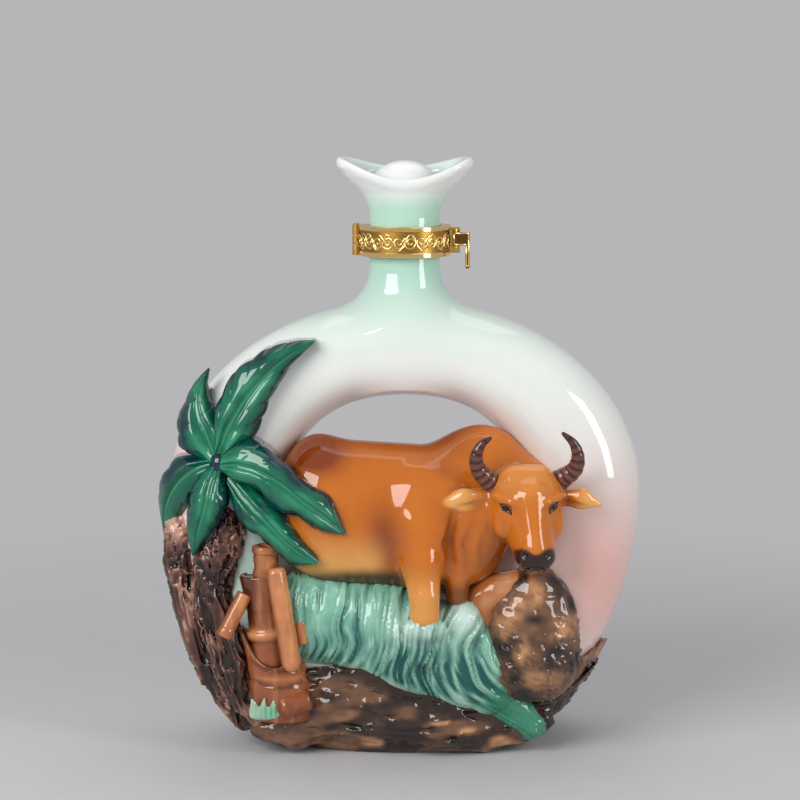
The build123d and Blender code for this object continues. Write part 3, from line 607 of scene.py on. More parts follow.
# Each leaf from the crown to its tip: midrib x, y, z, then x, z of its left and right edges
LEAVES = {
    "palm_leaf_3": [
        (-92.3, -42, 150.6, -97.9, 152.5, -92.2, 143.2),
        (-104.5, -40, 146.1, -112.6, 151.8, -99.5, 134.3),
        (-113.7, -36, 137.9, -120.8, 143.1, -105.9, 126.7),
        (-119.6, -29, 126.9, -124.4, 132.9, -109.7, 120.3),
        (-121.8, -22, 116.1, -124.4, 120.6, -115.4, 112.0),
        (-122.0, -17, 103.4, -122.3, 104.6, -121.0, 103.8)],
    "palm_leaf_2": [
        (-92.7, -42, 150.9, -100.0, 149.7, -88.3, 154.9),
        (-98.2, -41, 163.9, -112.0, 157.4, -87.1, 163.5),
        (-102.5, -38, 174.8, -113.6, 169.7, -92.4, 173.0),
        (-103.2, -34, 183.7, -109.5, 180.1, -96.8, 180.0),
        (-101.4, -30, 190.1, -104.9, 188.7, -98.3, 187.4),
        (-98.0, -26, 195.1, -98.4, 195.3, -97.6, 194.8)],
    "palm_leaf_1": [
        (-92.7, -43, 153.8, -95.4, 161.3, -86.5, 154.4),
        (-87.7, -44, 166.4, -93.5, 178.5, -74.5, 161.3),
        (-79.0, -44, 181.1, -84.3, 194.8, -69.2, 175.1),
        (-69.7, -43, 192.3, -72.4, 203.8, -63.6, 186.2),
        (-58.8, -40, 201.7, -59.6, 209.2, -55.4, 198.7),
        (-45.0, -36, 210.0, -45.4, 210.5, -44.6, 209.6)],
    "palm_leaf_4": [
        (-91.9, -43, 150.4, -97.4, 148.8, -88.5, 145.4),
        (-95.9, -48, 140.9, -104.3, 141.0, -87.1, 135.0),
        (-98.9, -50, 128.1, -107.3, 129.8, -88.7, 125.4),
        (-102.3, -48, 116.2, -108.6, 118.5, -95.7, 115.0),
        (-105.9, -42, 102.8, -106.4, 103.2, -105.3, 103.1)],
    "palm_leaf_6": [
        (-88.0, -45, 142.9, -79.7, 145.4, -87.8, 135.9),
        (-79.2, -50, 132.8, -67.9, 134.2, -83.7, 123.0),
        (-69.2, -54, 123.2, -58.7, 124.8, -74.0, 114.4),
        (-60.3, -56, 114.2, -52.8, 115.3, -64.8, 107.9),
        (-51.9, -56, 107.3, -47.0, 109.0, -56.3, 100.1),
        (-43.0, -55, 101.9, -42.4, 103.2, -44.8, 100.6)],
    "palm_leaf_5": [
        (-91.8, -46, 149.0, -89.6, 156.7, -90.1, 145.6),
        (-82.4, -51, 150.0, -79.4, 162.2, -85.1, 140.8),
        (-71.9, -56, 147.9, -68.5, 159.2, -74.6, 138.7),
        (-60.8, -59, 142.4, -58.5, 151.1, -64.5, 129.3),
        (-49.9, -61, 133.8, -48.0, 142.6, -53.6, 125.1),
        (-39.0, -60, 125.5, -35.8, 133.6, -42.2, 118.2),
        (-29.7, -57, 116.9, -29.2, 117.3, -30.1, 116.4)]}
LEAF_ROWS, LEAF_COLUMNS = 170, 57
LEAF_THICKNESS, LEAF_PUFF, LEAF_FALL = 3.2, 2.2, 5.0


def ring_front(x, z):
    """How far forward the bare ring stands at a place, and whether it is there at all."""
    across, _, depth = ring_coordinates(np.stack([x, x * 0, z], -1))
    n = SECTION_FULLNESS
    y = -depth * np.clip(1 - np.abs(across) ** n, 0, 1) ** (1 / n)
    return y, smoothstep(1.03, 0.9, np.abs(across))


def leaf_mesh(table, order):
    """A thick leaf with a puffed half on each side of a fine double midrib."""
    rows = spline_points(table, LEAF_ROWS)
    t = np.linspace(0, 1, LEAF_ROWS)[:, None]
    s = np.sin(np.linspace(-1, 1, LEAF_COLUMNS) * math.pi / 2)[None, :]
    a = np.abs(s)
    rib = rows[:, None, :3]
    edge = np.where((s < 0)[:, :, None], rows[:, None, 3:5], rows[:, None, 5:7])
    broad = np.hypot(edge[:, :, 0] - rib[:, :, 0], edge[:, :, 1] - rib[:, :, 2])
    taper = np.clip(broad / 9, 0, 1)
    swing = np.where(s < 0, 0.0, 0.37) + 0.23 * order
    vein = np.abs(np.sin(math.pi * (7 * t - 1.3 * a + swing))) ** 0.6
    reach = a * (1 - 0.07 * (1 - vein) * a ** 2 - 0.03 * np.sin(23 * t + order) * a ** 3)
    x = rib[:, :, 0] + (edge[:, :, 0] - rib[:, :, 0]) * reach
    z = rib[:, :, 2] + (edge[:, :, 1] - rib[:, :, 2]) * reach
    streak = np.cos(2 * math.pi * (2.1 * a + 0.1 * order)) * bump(t, 0, 0.4)
    y = rib[:, :, 1] + LEAF_FALL * a ** 2.4 * taper
    y = y - LEAF_PUFF * np.sin(math.pi * a) ** 0.8 * taper
    y = y - 0.45 * vein * a ** 0.5 * (1 - a ** 4) * taper - 0.5 * streak * taper
    y = y - 0.6 * bump(a, 0, 0.045) + 0.5 * bump(a, 0.11, 0.04) * taper
    y = y + 0.9 * np.sin(2 * math.pi * (2.3 * t + 0.3 * order)) * a ** 3 * taper
    ring, there = ring_front(x.ravel(), z.ravel())
    ring, there = ring.reshape(x.shape), there.reshape(x.shape)
    back = y + LEAF_THICKNESS + np.clip(ring + 1.5 - y - LEAF_THICKNESS, 0, 12) * there
    front = np.stack([x, y, z], -1).reshape(-1, 3)
    rear = np.stack([x, back, z], -1).reshape(-1, 3)
    patch = cloud(front, 9.0, 71 + order).reshape(x.shape)
    pool = 0.9 * smoothstep(0.50, 1.0, a + 0.45 * (patch - 0.5)) + 0.45 * (1 - vein) * a
    pool = pool + 0.45 * smoothstep(0.5, 0.8, patch) * smoothstep(0.1, 0.4, a)
    wash = 0.55 * bump(a, 0.3, 0.2) * (1 - 0.5 * t) * smoothstep(0.55, 0.25, patch)
    wash = wash + 0.5 * bump(a, 0, 0.04) + 0.15 * np.clip(streak, 0, 1)
    faces, per = [], LEAF_ROWS * LEAF_COLUMNS
    for i in range(LEAF_ROWS - 1):
        for j in range(LEAF_COLUMNS - 1):
            k = i * LEAF_COLUMNS + j
            quad = [k, k + 1, k + LEAF_COLUMNS + 1, k + LEAF_COLUMNS]
            faces.append(quad)
            faces.append([per + m for m in reversed(quad)])
    rim = ([i * LEAF_COLUMNS for i in range(LEAF_ROWS)]
           + [(LEAF_ROWS - 1) * LEAF_COLUMNS + j for j in range(1, LEAF_COLUMNS)]
           + [i * LEAF_COLUMNS + LEAF_COLUMNS - 1 for i in range(LEAF_ROWS - 2, -1, -1)]
           + [j for j in range(LEAF_COLUMNS - 2, 0, -1)])
    for k, m in zip(rim, rim[1:] + rim[:1]):
        faces.append([m, k, per + k, per + m])
    both = [np.concatenate([v.ravel(), v.ravel()]) for v in (pool, wash * np.ones_like(pool))]
    return np.concatenate([front, rear]), faces, both[0], both[1]


def turn_outwards(obj):
    """Recalculate a closed mesh's normals so its faces point out."""
    import bmesh
    work = bmesh.new()
    work.from_mesh(obj.data)
    bmesh.ops.recalc_face_normals(work, faces=work.faces)
    work.to_mesh(obj.data)
    work.free()


def make_palm():
    material = glaze("leaf_glaze", (0.002, 0.130, 0.068), (0.001, 0.026, 0.036),
                     (0.06, 0.36, 0.20), rough=0.045, fine=0.08, fine_size=120.0)
    turns, tips = np.meshgrid(np.linspace(0, 2 * math.pi, 24, endpoint=False), np.linspace(-1.35, 1.35, 9))
    bud = np.stack([np.cos(tips) * np.cos(turns) * 5.5 - 91.6, np.cos(tips) * np.sin(turns) * 5.0 - 41.5,
                    np.sin(tips) * 6.0 + 149.5], -1).reshape(-1, 3)
    faces = [[i * 24 + j, i * 24 + (j + 1) % 24, i * 24 + 24 + (j + 1) % 24, i * 24 + 24 + j]
             for i in range(8) for j in range(24)] + [list(range(24)), list(range(192, 216))]
    crown = piece("palm_crown", bud, faces, "bottle", [], "glaze_leaf", material,
                  pool=np.ones(len(bud)), wash=np.zeros(len(bud)))
    turn_outwards(crown)
    for order, (name, table) in enumerate(LEAVES.items()):
        verts, faces, pool, wash = leaf_mesh(table, order)
        leaf = piece(name, verts, faces, "bottle", [name], "glaze_leaf", material,
                     pool=pool, wash=wash)
        turn_outwards(leaf)


def bark(p):
    """Height of the bark: wormy curls near the top, long crumpled grooves lower down."""
    warp = 4.0 * (cloud(p, 6.0, 3) - 0.5)
    along = 0.15 * p[:, 2] + 0.45 * 5 * np.logaddexp(0, (p[:, 2] - 84) / 5)
    lean = p[:, 0] + 0.3 * np.minimum(p[:, 2] - 84, 0)
    q = np.stack([lean + warp, p[:, 1] + warp * 0.7, along + warp * 0.6], -1)
    worm = 1 - np.abs(cloud(q, 2.6, 5) * 2 - 1) * 2.6
    fine = 1 - np.abs(cloud(q, 1.5, 8) * 2 - 1) * 2.4
    lump = cloud(p * np.array([1, 1, 0.5]), 9.0, 6) * 2 - 1
    return 1.15 * np.maximum(worm, -1.2) + 0.6 * fine + 1.0 * lump - 0.3


LEFT_TRUNK = [(-113, -23, 113, 8), (-114.5, -24, 97, 7.8), (-111.2, -26, 80, 7.4), (-108.5, -27, 68, 7),
              (-103.5, -28, 52, 7), (-97.5, -29, 38, 6.8), (-90, -29, 27, 6.4), (-81.5, -29, 16, 6)]
RIGHT_TRUNK = [(-92, -33, 114, 12), (-94.5, -34, 98, 11.5), (-97, -35, 84, 9.8), (-95, -36, 70, 9.6),
               (-90.5, -36, 57, 10), (-86.5, -37, 42, 9), (-82, -36, 31, 7.6), (-77, -34, 19, 6.5)]


def trunk_core(p):
    return blend(chain(p, LEFT_TRUNK), chain(p, RIGHT_TRUNK), 2.0)


def trunk_field(p):
    core = trunk_core(p)
    near = np.abs(core) < 6
    field = core.copy()
    field[near] -= bark(p[near]) * 0.85
    return np.maximum(field, 5.0 - p[:, 2])


def make_trunk():
    verts, faces = sculpt(trunk_field, (-130, -54, 3), (-60, -8, 134), grade(0.72))
    x, _, z = verts.T
    height = bark(verts)
    cleft = smoothstep(3.0, 0.0, np.abs(chain(verts, LEFT_TRUNK) - chain(verts, RIGHT_TRUNK)))
    pool = np.clip(0.72 - height * 0.62 + 0.8 * cleft + 0.15 * smoothstep(70, 30, z), 0, 1)
    cut = haze(x, z, -114, 117, 7, 8)
    pale = smoothstep(0.5, 1.5, height) * (0.35 + 0.65 * cloud(verts, 9, 2)) * 0.85
    material = glaze("bark_glaze", (0.155, 0.058, 0.036), (0.016, 0.006, 0.005),
                     (0.56, 0.31, 0.23), rough=0.07, fine=0.25, fine_size=300.0)
    piece("trunk_bark", verts, faces, "bottle", ["palm_trunk"], "glaze_trunk", material,
          pool=pool * (1 - cut), wash=np.clip(cut * 1.5 + pale, 0, 1))


# Grass bank and rocks

BANK = [(-52, -36, 70, 23), (-30, -36, 67, 22.5), (-12, -37, 64, 24.5), (5, -38, 57, 26),
        (20, -38, 52, 25.5), (31, -38, 48, 25), (42, -38, 38, 18.5), (50, -37, 28, 13),
        (57, -38, 20.5, 9.5), (63, -38, 14.5, 7.5), (67, -36, 12, 4)]
BANK_TOP = ((-60, 96), (-36, 91), (-24, 88.5), (-1, 88), (16, 76), (23, 80), (34, 77), (43, 60),
            (62, 26), (68, 18))
BANK_FOOT = ((-60, 47), (-24, 45), (-10, 38.5), (4, 31.7), (20, 27), (43, 20.7), (53, 12), (62, 7), (68, 7))


def comb(p):
    """Ridges of the grass: upright on the left, hooked in the middle, running out to the right."""
    x, z = p[:, 0], p[:, 2]
    upright = x + 0.0045 * (z - 74) ** 2 - 0.12 * z
    hooked = x + 9.0 * (1 - ((z - 50) / 24) ** 2) + 0.15 * (z - 50)
    running = x + 1.05 * (z - 38)
    w1, w2 = smoothstep(-14, 22, x), smoothstep(26, 60, x + 0.5 * (40 - z))
    q = (upright * (1 - w1) + hooked * w1) * (1 - w2) + running * w2
    q = q + 6.0 * cloud(np.stack([q * 0.3, p[:, 1] * 0.3, z * 0.6], -1), 7.0, 11)
    strands = 0
    for size, share, length, seed in ((3.4, 0.85, 0.16, 17), (1.8, 0.6, 0.16, 19)):
        shift = 16 * cloud(np.stack([q * 0.5, z * 0, z * 0], -1), 4.0, seed + 1)
        line = cloud(np.stack([q, p[:, 1] * 0.2, z * length + shift], -1), size, seed)
        strands = strands + share * (1 - np.abs(line * 2 - 1) * 2.4)
    return np.clip(strands, -1.6, 1.4) * 0.56


def bank_core(p):
    s = np.array([1, 0.62, 1])
    stations = [(x, y / 0.62, z, r) for x, y, z, r in BANK]
    core = chain(p / s, stations) * 0.7
    core = blend(core, ball(p, (9.5, -46, 60), (18, 14, 14)), 5)
    core = blend(core, ball(p, (10, -57, 69), (10.5, 6.5, 6.5)), 3)
    return blend(core, ball(p, (29, -45, 69), (10, 10, 12)), 5)


def bank_field(p):
    core = bank_core(p)
    near = np.abs(core) < 5
    field = core.copy()
    x, z = p[near, 0], p[near, 2]
    edge = smoothstep(0, 5, z - curve(x, BANK_FOOT)) * smoothstep(-1, 4, curve(x, BANK_TOP) - z + 2)
    field[near] -= comb(p[near]) * (0.15 + 1.15 * edge)
    return np.maximum(field, 1.2 - p[:, 2])


def make_bank():
    verts, faces = sculpt(bank_field, (-80, -68, -1), (76, -12, 99), grade(0.85))
    x, _, z = verts.T
    ridge = comb(verts)
    top, foot = curve(x, BANK_TOP), curve(x, BANK_FOOT)
    level = (z - foot) / np.maximum(top - foot, 6)
    patch = cloud(verts, 13, 15)
    deep = smoothstep(0.84, 0.50, level + 0.5 * (patch - 0.5)) * smoothstep(0.03, 0.15, level)
    deep = deep * (0.40 + 0.60 * smoothstep(-30, 2, x)) * smoothstep(60, 44, x)
    groove = smoothstep(0.25, -0.55, ridge)
    pool = np.clip(groove * (0.55 + 0.60 * deep) + 0.95 * deep * smoothstep(0.9, 0.0, ridge), 0, 1)
    foam = haze(x, z, 29, 74, 9, 10) + 0.8 * haze(x, z, 4, 69, 11, 6)
    foam = foam + 0.75 * bump(level, 0.01, 0.045) + smoothstep(0.3, 0.9, ridge) * 0.3
    tail = smoothstep(34, 50, x + 0.4 * (30 - z)) * smoothstep(46, 34, z)
    material = glaze("grass_glaze", (0.21, 0.48, 0.35), (0.002, 0.095, 0.085),
                     (0.72, 0.84, 0.78), (0.002, 0.17, 0.085), rough=0.06, fine=0.06)
    piece("grass_bank", verts, faces, "bottle", ["grass_bank"], "glaze_grass", material,
          pool=pool * (1 - 0.6 * np.clip(foam, 0, 1)),
          wash=np.clip(foam * (0.6 + 0.4 * ridge), 0, 0.9), mark=tail * (0.82 + 0.18 * groove))


def stone(p, size, depth, seed, flat=1.0):
    """Broken faces and pits for a rock; flat below 1 stretches them sideways."""
    q = p * np.array([flat, 1, 1])
    broad = cloud(q, size, seed) * 2 - 1
    fine = 1 - np.abs(cloud(q, size * 0.32, seed + 1) * 2 - 1) * 2
    return depth * (0.7 * broad + 0.3 * fine)


def scratch(p, seed):
    """Fine bark-like scratches low on the boulder."""
    warp = 3.0 * cloud(p, 6.0, seed)
    q = np.stack([p[:, 0] * 0.6 + warp, p[:, 1], p[:, 2] + 0.6 * p[:, 0] + warp], -1)
    return 1 - np.abs(cloud(q, 2.2, seed + 1) * 2 - 1) * 2


def boulder_field(p):
    field = ball(p, (65, -38, 64), (22.5, 17.5, 33.5))
    field = blend(field, ball(p, (64, -38, 47), (21.5, 17, 19)), 8)
    field = blend(field, ball(p, (54, -41, 68), (12, 14, 18)), 6)
    return field - stone(p, 16, 2.0, 21) - 0.8 * scratch(p, 23) * smoothstep(80, 52, p[:, 2])


def mound_field(p):
    field = bone(p, (34, -37, 79), (46, -39, 84), 7.5, 9)
    field = blend(field, bone(p, (46, -39, 84), (61, -39, 89), 9, 7), 3)
    field = blend(field, ball(p, (40, -38, 72), (10, 9, 10)), 5)
    return field - stone(p, 14, 0.6, 31)


def side_field(p):
    crust = ring_field(p) - 3.0
    x, z = p[:, 0], p[:, 2]
    top = 47.5 + (x - 90) * 0.42 + 1.2 * np.abs((x / 2.8) % 2 - 1)
    wedge = np.maximum(np.maximum(z - top, 66 - x + 0.5 * (z - 16)), p[:, 1] + 12)
    wedge = np.maximum(wedge, 12 - z)
    return np.maximum(crust, wedge * 0.8) - stone(p, 9, 0.8, 41)


# Swellings of the ground in front, then its upper edge: x, z
GROUND_LUMPS = [(-68, -33, 14, 9), (-56, -35, 13, 11), (-36, -37, 27, 12), (-12, -38, 24, 12.5),
                (14, -38, 15, 12), (40, -35, 10, 10), (56, -33, 11, 7.5), (70, -29, 17, 6)]
GROUND_EDGE = [(-80, 24), (-66, 40), (-36, 46), (0, 42), (26, 30), (59, 22), (80, 28), (103, 42)]


def ground_field(p):
    level = curve(p[:, 0], GROUND_EDGE)
    back = smoothstep(-5, 30, p[:, 1])
    level = level * (1 - back) + (16 + 3 * np.sin(p[:, 0] / 9)) * back
    crust = np.maximum(ring_field(p) - 3.2, (p[:, 2] - level) * 0.8)
    field = blend(crust, chain(p, GROUND_LUMPS), 5)
    fold = 1 - np.abs(cloud(p * np.array([0.22, 1, 1]), 5.5, 55) * 2 - 1) * 2
    field = field - (stone(p, 10, 2.4, 51, 0.42) + 1.2 * fold) * smoothstep(0, 6, p[:, 2])
    return np.maximum(field, -p[:, 2])


# Airbrushed spots on the boulder: x, z, reach
TAN_SPOTS = ((65, 86, 6), (52, 71, 6), (68, 44, 8), (78, 68, 6), (59, 58, 5), (55, 80, 4))
DARK_SPOTS = ((75, 92, 8), (63, 73, 6.5), (48, 60, 8), (72, 56, 8), (60, 33, 9), (84, 80, 6), (85, 52, 6),
              (60, 93, 4), (54, 46, 5))


def spots(verts, places):
    """Soft round spots seen from the front."""
    total = np.zeros(len(verts))
    across, up = (9 * (cloud(verts, 7, seed) - 0.5) for seed in (91, 92))
    for x, z, reach in places:
        total += np.exp(-((verts[:, 0] + across - x) ** 2 + (verts[:, 2] + up - z) ** 2) / reach ** 2)
    return np.clip(total, 0, 1)


def make_rocks():
    stone_glaze = glaze("stone_glaze", (0.16, 0.074, 0.040), (0.016, 0.009, 0.007),
                        (0.60, 0.29, 0.13), (0.011, 0.007, 0.006), rough=0.05,
                        fine=0.22, fine_size=220.0)
    mound_glaze = glaze("mound_glaze", (0.40, 0.125, 0.030), (0.12, 0.035, 0.012),
                        (0.62, 0.31, 0.16), (0.030, 0.013, 0.009), rough=0.05, fine=0.08)
    rocks = {"boulder": (boulder_field, (40, -62, 14), (96, -14, 104), 21),
             "mound": (mound_field, (22, -64, 52), (68, -24, 100), 31),
             "side_rock": (side_field, (60, -44, 6), (112, 2, 66), 41),
             "rocky_ground": (ground_field, (-96, -58, -2), (110, 52, 62), 51)}
    for name, (field, low, high, seed) in rocks.items():
        verts, faces = sculpt(field, low, high, grade(1.0))
        x, y, z = verts.T
        crease = np.clip(hollows(field, verts, 2.0), 0, 1)
        flow = verts * np.array([0.45, 1, 1])
        if name == "boulder":
            tan = spots(verts, TAN_SPOTS) * (0.6 + 0.4 * scratch(verts, 23))
            dark = spots(verts, DARK_SPOTS)
        elif name == "rocky_ground":
            tan = smoothstep(0.50, 0.64, cloud(flow, 7, seed + 3)) * smoothstep(30, 20, z) * (y < 0) * 0.9
            tan = tan * (0.25 + 0.75 * smoothstep(-30, -8, x))
            dark = smoothstep(0.38, 0.60, cloud(flow, 8, seed + 5)) * 0.9
            dark = np.maximum(dark, smoothstep(62, 76, x) * 0.8)
            # Painted shadow: a dark band just below the grass bank's foot.
            dark = np.maximum(dark, smoothstep(7, 1, curve(x, BANK_FOOT) - z) * 0.85)
        else:
            tan = smoothstep(0.5, 0.85, cloud(verts, 10, seed + 3)) * 0.6
            dark = smoothstep(0.55, 0.35, cloud(verts, 8, 43)) * 0.75 * (name == "side_rock")
            dark = np.maximum(dark, smoothstep(34, 20, z) * (name == "side_rock"))
        piece(name + "_stone", verts, faces, "bottle", [name], "glaze_rock",
              mound_glaze if name == "mound" else stone_glaze,
              pool=crease, wash=tan, mark=dark)


# Bamboo

def turned(start, end, profile, sides=40, lean=1.0):
    """A turned shape on an axis: profile is (share of the length, radius)."""
    a, b = np.array(start, float), np.array(end, float)
    d = (b - a) / np.linalg.norm(b - a)
    side = np.cross(d, (0, 1, 0))
    side /= np.linalg.norm(side)
    lift = np.cross(side, d)
    verts, faces = [], []
    for share, r in profile:
        for j in range(sides):
            t = 2 * math.pi * j / sides
            verts.append(a + (b - a) * share + side * (r * math.cos(t)) + lift * (r * lean * math.sin(t)))
    rows = len(profile)
    for i in range(rows - 1):
        for j in range(sides):
            k = (j + 1) % sides
            faces.append([i * sides + j, i * sides + k, (i + 1) * sides + k, (i + 1) * sides + j])
    faces.append([j for j in range(sides)][::-1])
    faces.append([(rows - 1) * sides + j for j in range(sides)])
    return verts, faces


STALK = [(0, 9.2), (0.385, 9.2), (0.395, 10.3), (0.46, 10.7), (0.475, 9.6), (0.48, 9.2), (0.64, 9.4),
         (0.65, 9.1), (0.66, 9.5), (0.9, 11.0), (0.985, 11.6), (1.0, 11.2), (1.0, 9.4), (0.985, 9.2),
         (0.98, 0.4)]
SLEEVE_OUTSIDE = ((20, 15.4), (32, 15.7), (38, 15.5), (38.6, 14.9), (46, 15.0), (46.6, 14.5), (70, 14.2))
SLEEVE_AXIS = ((-61.2, 20), (-63.0, 40), (-65.5, 52), (-69.5, 66))
PIPE = [(0, 0.9), (0.02, 1.0), (0.80, 1.0), (0.82, 1.12), (0.97, 1.12), (1.0, 1.02), (1.0, 0.72),
        (0.9, 0.66), (0.88, 0.05)]
OFFCUT = [(0, 0.3), (0.0, 2.6), (0.03, 3.0), (0.03, 5.0), (0.06, 5.6), (0.14, 5.9), (0.9, 5.6), (1.0, 4.6),
          (1.0, 0.3)]
ROD = [(0, 0.3), (0.03, 0.75), (0.09, 1.0), (0.95, 1.0), (0.99, 0.9), (1.0, 0.6)]
CANES = {"short_pipe": ((-69.2, -46, 90), (-69.0, -46, 109.0), 6.2, PIPE),
         "slanted_tube": ((-79.5, -48, 85), (-90.2, -51, 64.0), 3.9, PIPE),
         "long_tube": ((-55.6, -56, 47.2), (-64.2, -52, 99), 5.0, ROD),
         "bamboo_knob": ((-51.2, -48, 59), (-52.6, -48, 71), 3.6, ROD)}


def sleeve_mesh():
    """The broad lower joint, its rim broken low in front so that the inner cane shows."""
    sides, levels = 72, 44
    turns = np.linspace(0, 2 * math.pi, sides, endpoint=False)
    facing = np.clip(-np.sin(turns), 0, 1)
    rim = 66 - 17 * smoothstep(0.25, 0.95, facing) + 1.2 * np.sin(5 * turns) * facing
    share = np.concatenate([np.linspace(0, 1, levels), [1.0], np.linspace(0.99, 0.45, 12)])
    verts, faces = [], []
    for i, f in enumerate(share):
        z = 20 + (rim - 20) * f
        r = curve(z, SLEEVE_OUTSIDE)
        if i >= levels:
            r = r - 2.4
        elif i == levels - 1:
            r = r - 0.5
        cx = np.interp(z, [q[1] for q in SLEEVE_AXIS], [q[0] for q in SLEEVE_AXIS])
        for a, zz, rr, c in zip(turns, z, r, cx):
            verts.append((c + rr * math.cos(a), -40 + 0.88 * rr * math.sin(a), zz))
    rows = len(share)
    for i in range(rows - 1):
        for j in range(sides):
            k = (j + 1) % sides
            faces.append([i * sides + j, i * sides + k, (i + 1) * sides + k, (i + 1) * sides + j])
    faces.append(list(range(sides))[::-1])
    faces.append([(rows - 1) * sides + j for j in range(sides)])
    return verts, faces


def fine_profile(profile):
    """The same outline with close points beside each corner, so that shading stays crisp."""
    rows = []
    for (s0, r0), (s1, r1) in zip(profile, profile[1:]):
        steps = max(1, int(max(abs(s1 - s0) / 0.04, 1)))
        rows += [(s0 + (s1 - s0) * k / steps, r0 + (r1 - r0) * k / steps) for k in range(steps)]
    return rows + [profile[-1]]


def edge_shade(v, start, end, radius):
    """How far a point lies towards a cane's left edge, where shade is painted."""
    start, end = np.array(start, float), np.array(end, float)
    line = (end - start) / np.linalg.norm(end - start)
    across = np.cross(line, (0, 1, 0))
    return smoothstep(0.35, 0.95, (v - start) @ across / radius * np.sign(-across[0]))


def make_bamboo():
    material = glaze("bamboo_glaze", (0.36, 0.105, 0.034), (0.075, 0.016, 0.006),
                     (0.72, 0.30, 0.12), rough=0.04, fine=0.20, fine_size=90.0)
    verts, faces = turned((-66.8, -42, 40), (-71.2, -42, 94), fine_profile(STALK), 56, 0.9)
    v = np.array(verts)
    streak = cloud(np.stack([v[:, 0], v[:, 1], v[:, 2] * 0.15], -1), 2.4, 61)
    ring = np.exp(-((v[:, 2] - 64.4) / 2.4) ** 2)
    # Painted shade: the stalk darkens towards both side edges and low down where it sits inside the sleeve.
    pool = np.clip(streak * 0.5 + smoothstep(52, 46, v[:, 2]) * 0.8
                   + 0.7 * smoothstep(-72.5, -76.5, v[:, 0]) + 0.6 * smoothstep(-61, -58, v[:, 0]), 0, 1)
    stalk = piece("bamboo_stalk", verts, faces, "bottle", ["bamboo_stalk"], "glaze_bamboo",
                  material, pool=pool, wash=np.maximum(smoothstep(0.6, 0.9, streak) * 0.4, ring * 0.8))
    turn_outwards(stalk)
    verts, faces = sleeve_mesh()
    v = np.array(verts)
    streak = cloud(np.stack([v[:, 0], v[:, 1], v[:, 2] * 0.15], -1), 2.8, 63)
    inside = np.arange(len(v)) >= 44 * 72
    front = smoothstep(-44, -50, v[:, 1])
    bands = np.exp(-((v[:, 2] - 46.5 - 0.02 * (v[:, 0] + 62) ** 2) / 1.6) ** 2) + np.exp(
        -((v[:, 2] - 38.2 - 0.02 * (v[:, 0] + 62) ** 2) / 1.2) ** 2)
    seams = np.exp(-((v[:, 2] - 42.5) / 1.1) ** 2) * front
    # The sleeve's inner wall is painted fully dark as shade; outside it darkens towards the bottom and
    # along its bands.
    sleeve = piece("bamboo_sleeve", verts, faces, "bottle", [], "glaze_bamboo", material,
                   pool=np.clip(np.where(inside, 1.0, 0.4 * streak + 0.45 * smoothstep(40, 26, v[:, 2])
                                         + 0.6 * bands * front), 0, 1),
                   wash=np.where(inside, 0.0, smoothstep(0.6, 0.95, streak) * 0.35 + 0.35 * seams))
    turn_outwards(sleeve)
    verts, faces = turned((-61.5, -51.5, 27.0), (-47.5, -48.5, 31.5), fine_profile(OFFCUT), 36)
    v = np.array(verts)
    mouth = smoothstep(-59.5, -61.5, v[:, 0])
    offcut = piece("bamboo_offcut", verts, faces, "bottle", [], "glaze_bamboo", material,
                   pool=0.35 * cloud(v, 3.0, 69) + 0.2, wash=0.5 * mouth)
    turn_outwards(offcut)
    for name, (start, end, radius, outline) in CANES.items():
        profile = fine_profile([(s, r * radius) for s, r in outline])
        verts, faces = turned(start, end, profile, 36)
        v = np.array(verts)
        if name == "short_pipe":
            v[:, :2] += (v[:, :2] - np.array(start[:2])) * (0.22 * (cloud(v, 3.4, 66) - 0.5))[:, None]
            verts = v
        streak = cloud(np.stack([v[:, 0], v[:, 1], v[:, 2] * 0.2], -1), 2.0, 67)
        light = 0.5 if name == "long_tube" else 0.25
        # Painted shade: each cane's left edge is darkened and loses its wash, and a pipe's bore is painted
        # fully dark.
        side = edge_shade(v, start, end, radius)
        bore = np.arange(len(v)) >= len(v) - 72 if outline is PIPE else np.zeros(len(v), bool)
        cane = piece(name, verts, faces, "bottle", [name], "glaze_bamboo", material,
                     pool=np.where(bore, 1.0, np.clip(streak * 0.35 + 0.55 * side, 0, 1)),
                     wash=np.where(bore, 0.0, (light + smoothstep(0.35, 0.8,
                                                                  streak) * 0.3) * (1 - 0.7 * side)))
        turn_outwards(cane)


TUFT_BLADES = [(-75.5, -0.6, 31.5), (-73.5, -1.2, 29.5), (-71.5, 1.6, 31.8), (-69.5, -0.8, 29.0),
               (-67.5, 2.2, 30.6), (-65.0, 0.4, 28.2), (-63.5, 3.0, 29.2)]


def tuft_field(p):
    field = bone(p, (-72.0, -48.5, 24), (-62, -50, 24), 3.6, 3.4)
    for x, lean, high in TUFT_BLADES:
        field = blend(field, bone(p, (x, -50.5, 24), (x + lean, -53.4, high + 0.8), 2.4, 0.6), 1.8)
    return field


def make_tuft():
    verts, faces = sculpt(tuft_field, (-84, -62, 12), (-50, -38, 38), 0.7)
    x, _, z = verts.T
    ridge = np.abs(np.sin((x + 75.5) * math.pi / 2.5))
    material = glaze("tuft_glaze", (0.40, 0.50, 0.36), (0.03, 0.30, 0.16),
                     (0.30, 0.58, 0.42), rough=0.06, fine=0.05)
    piece("grass_tuft", verts, faces, "bottle", ["grass_tuft"], "glaze_grass", material,
          pool=haze(x, z, -66, 26, 7, 4.0) * (0.6 + 0.4 * ridge),
          wash=0.7 * (1 - ridge) * smoothstep(34, 29, z))


# Cap

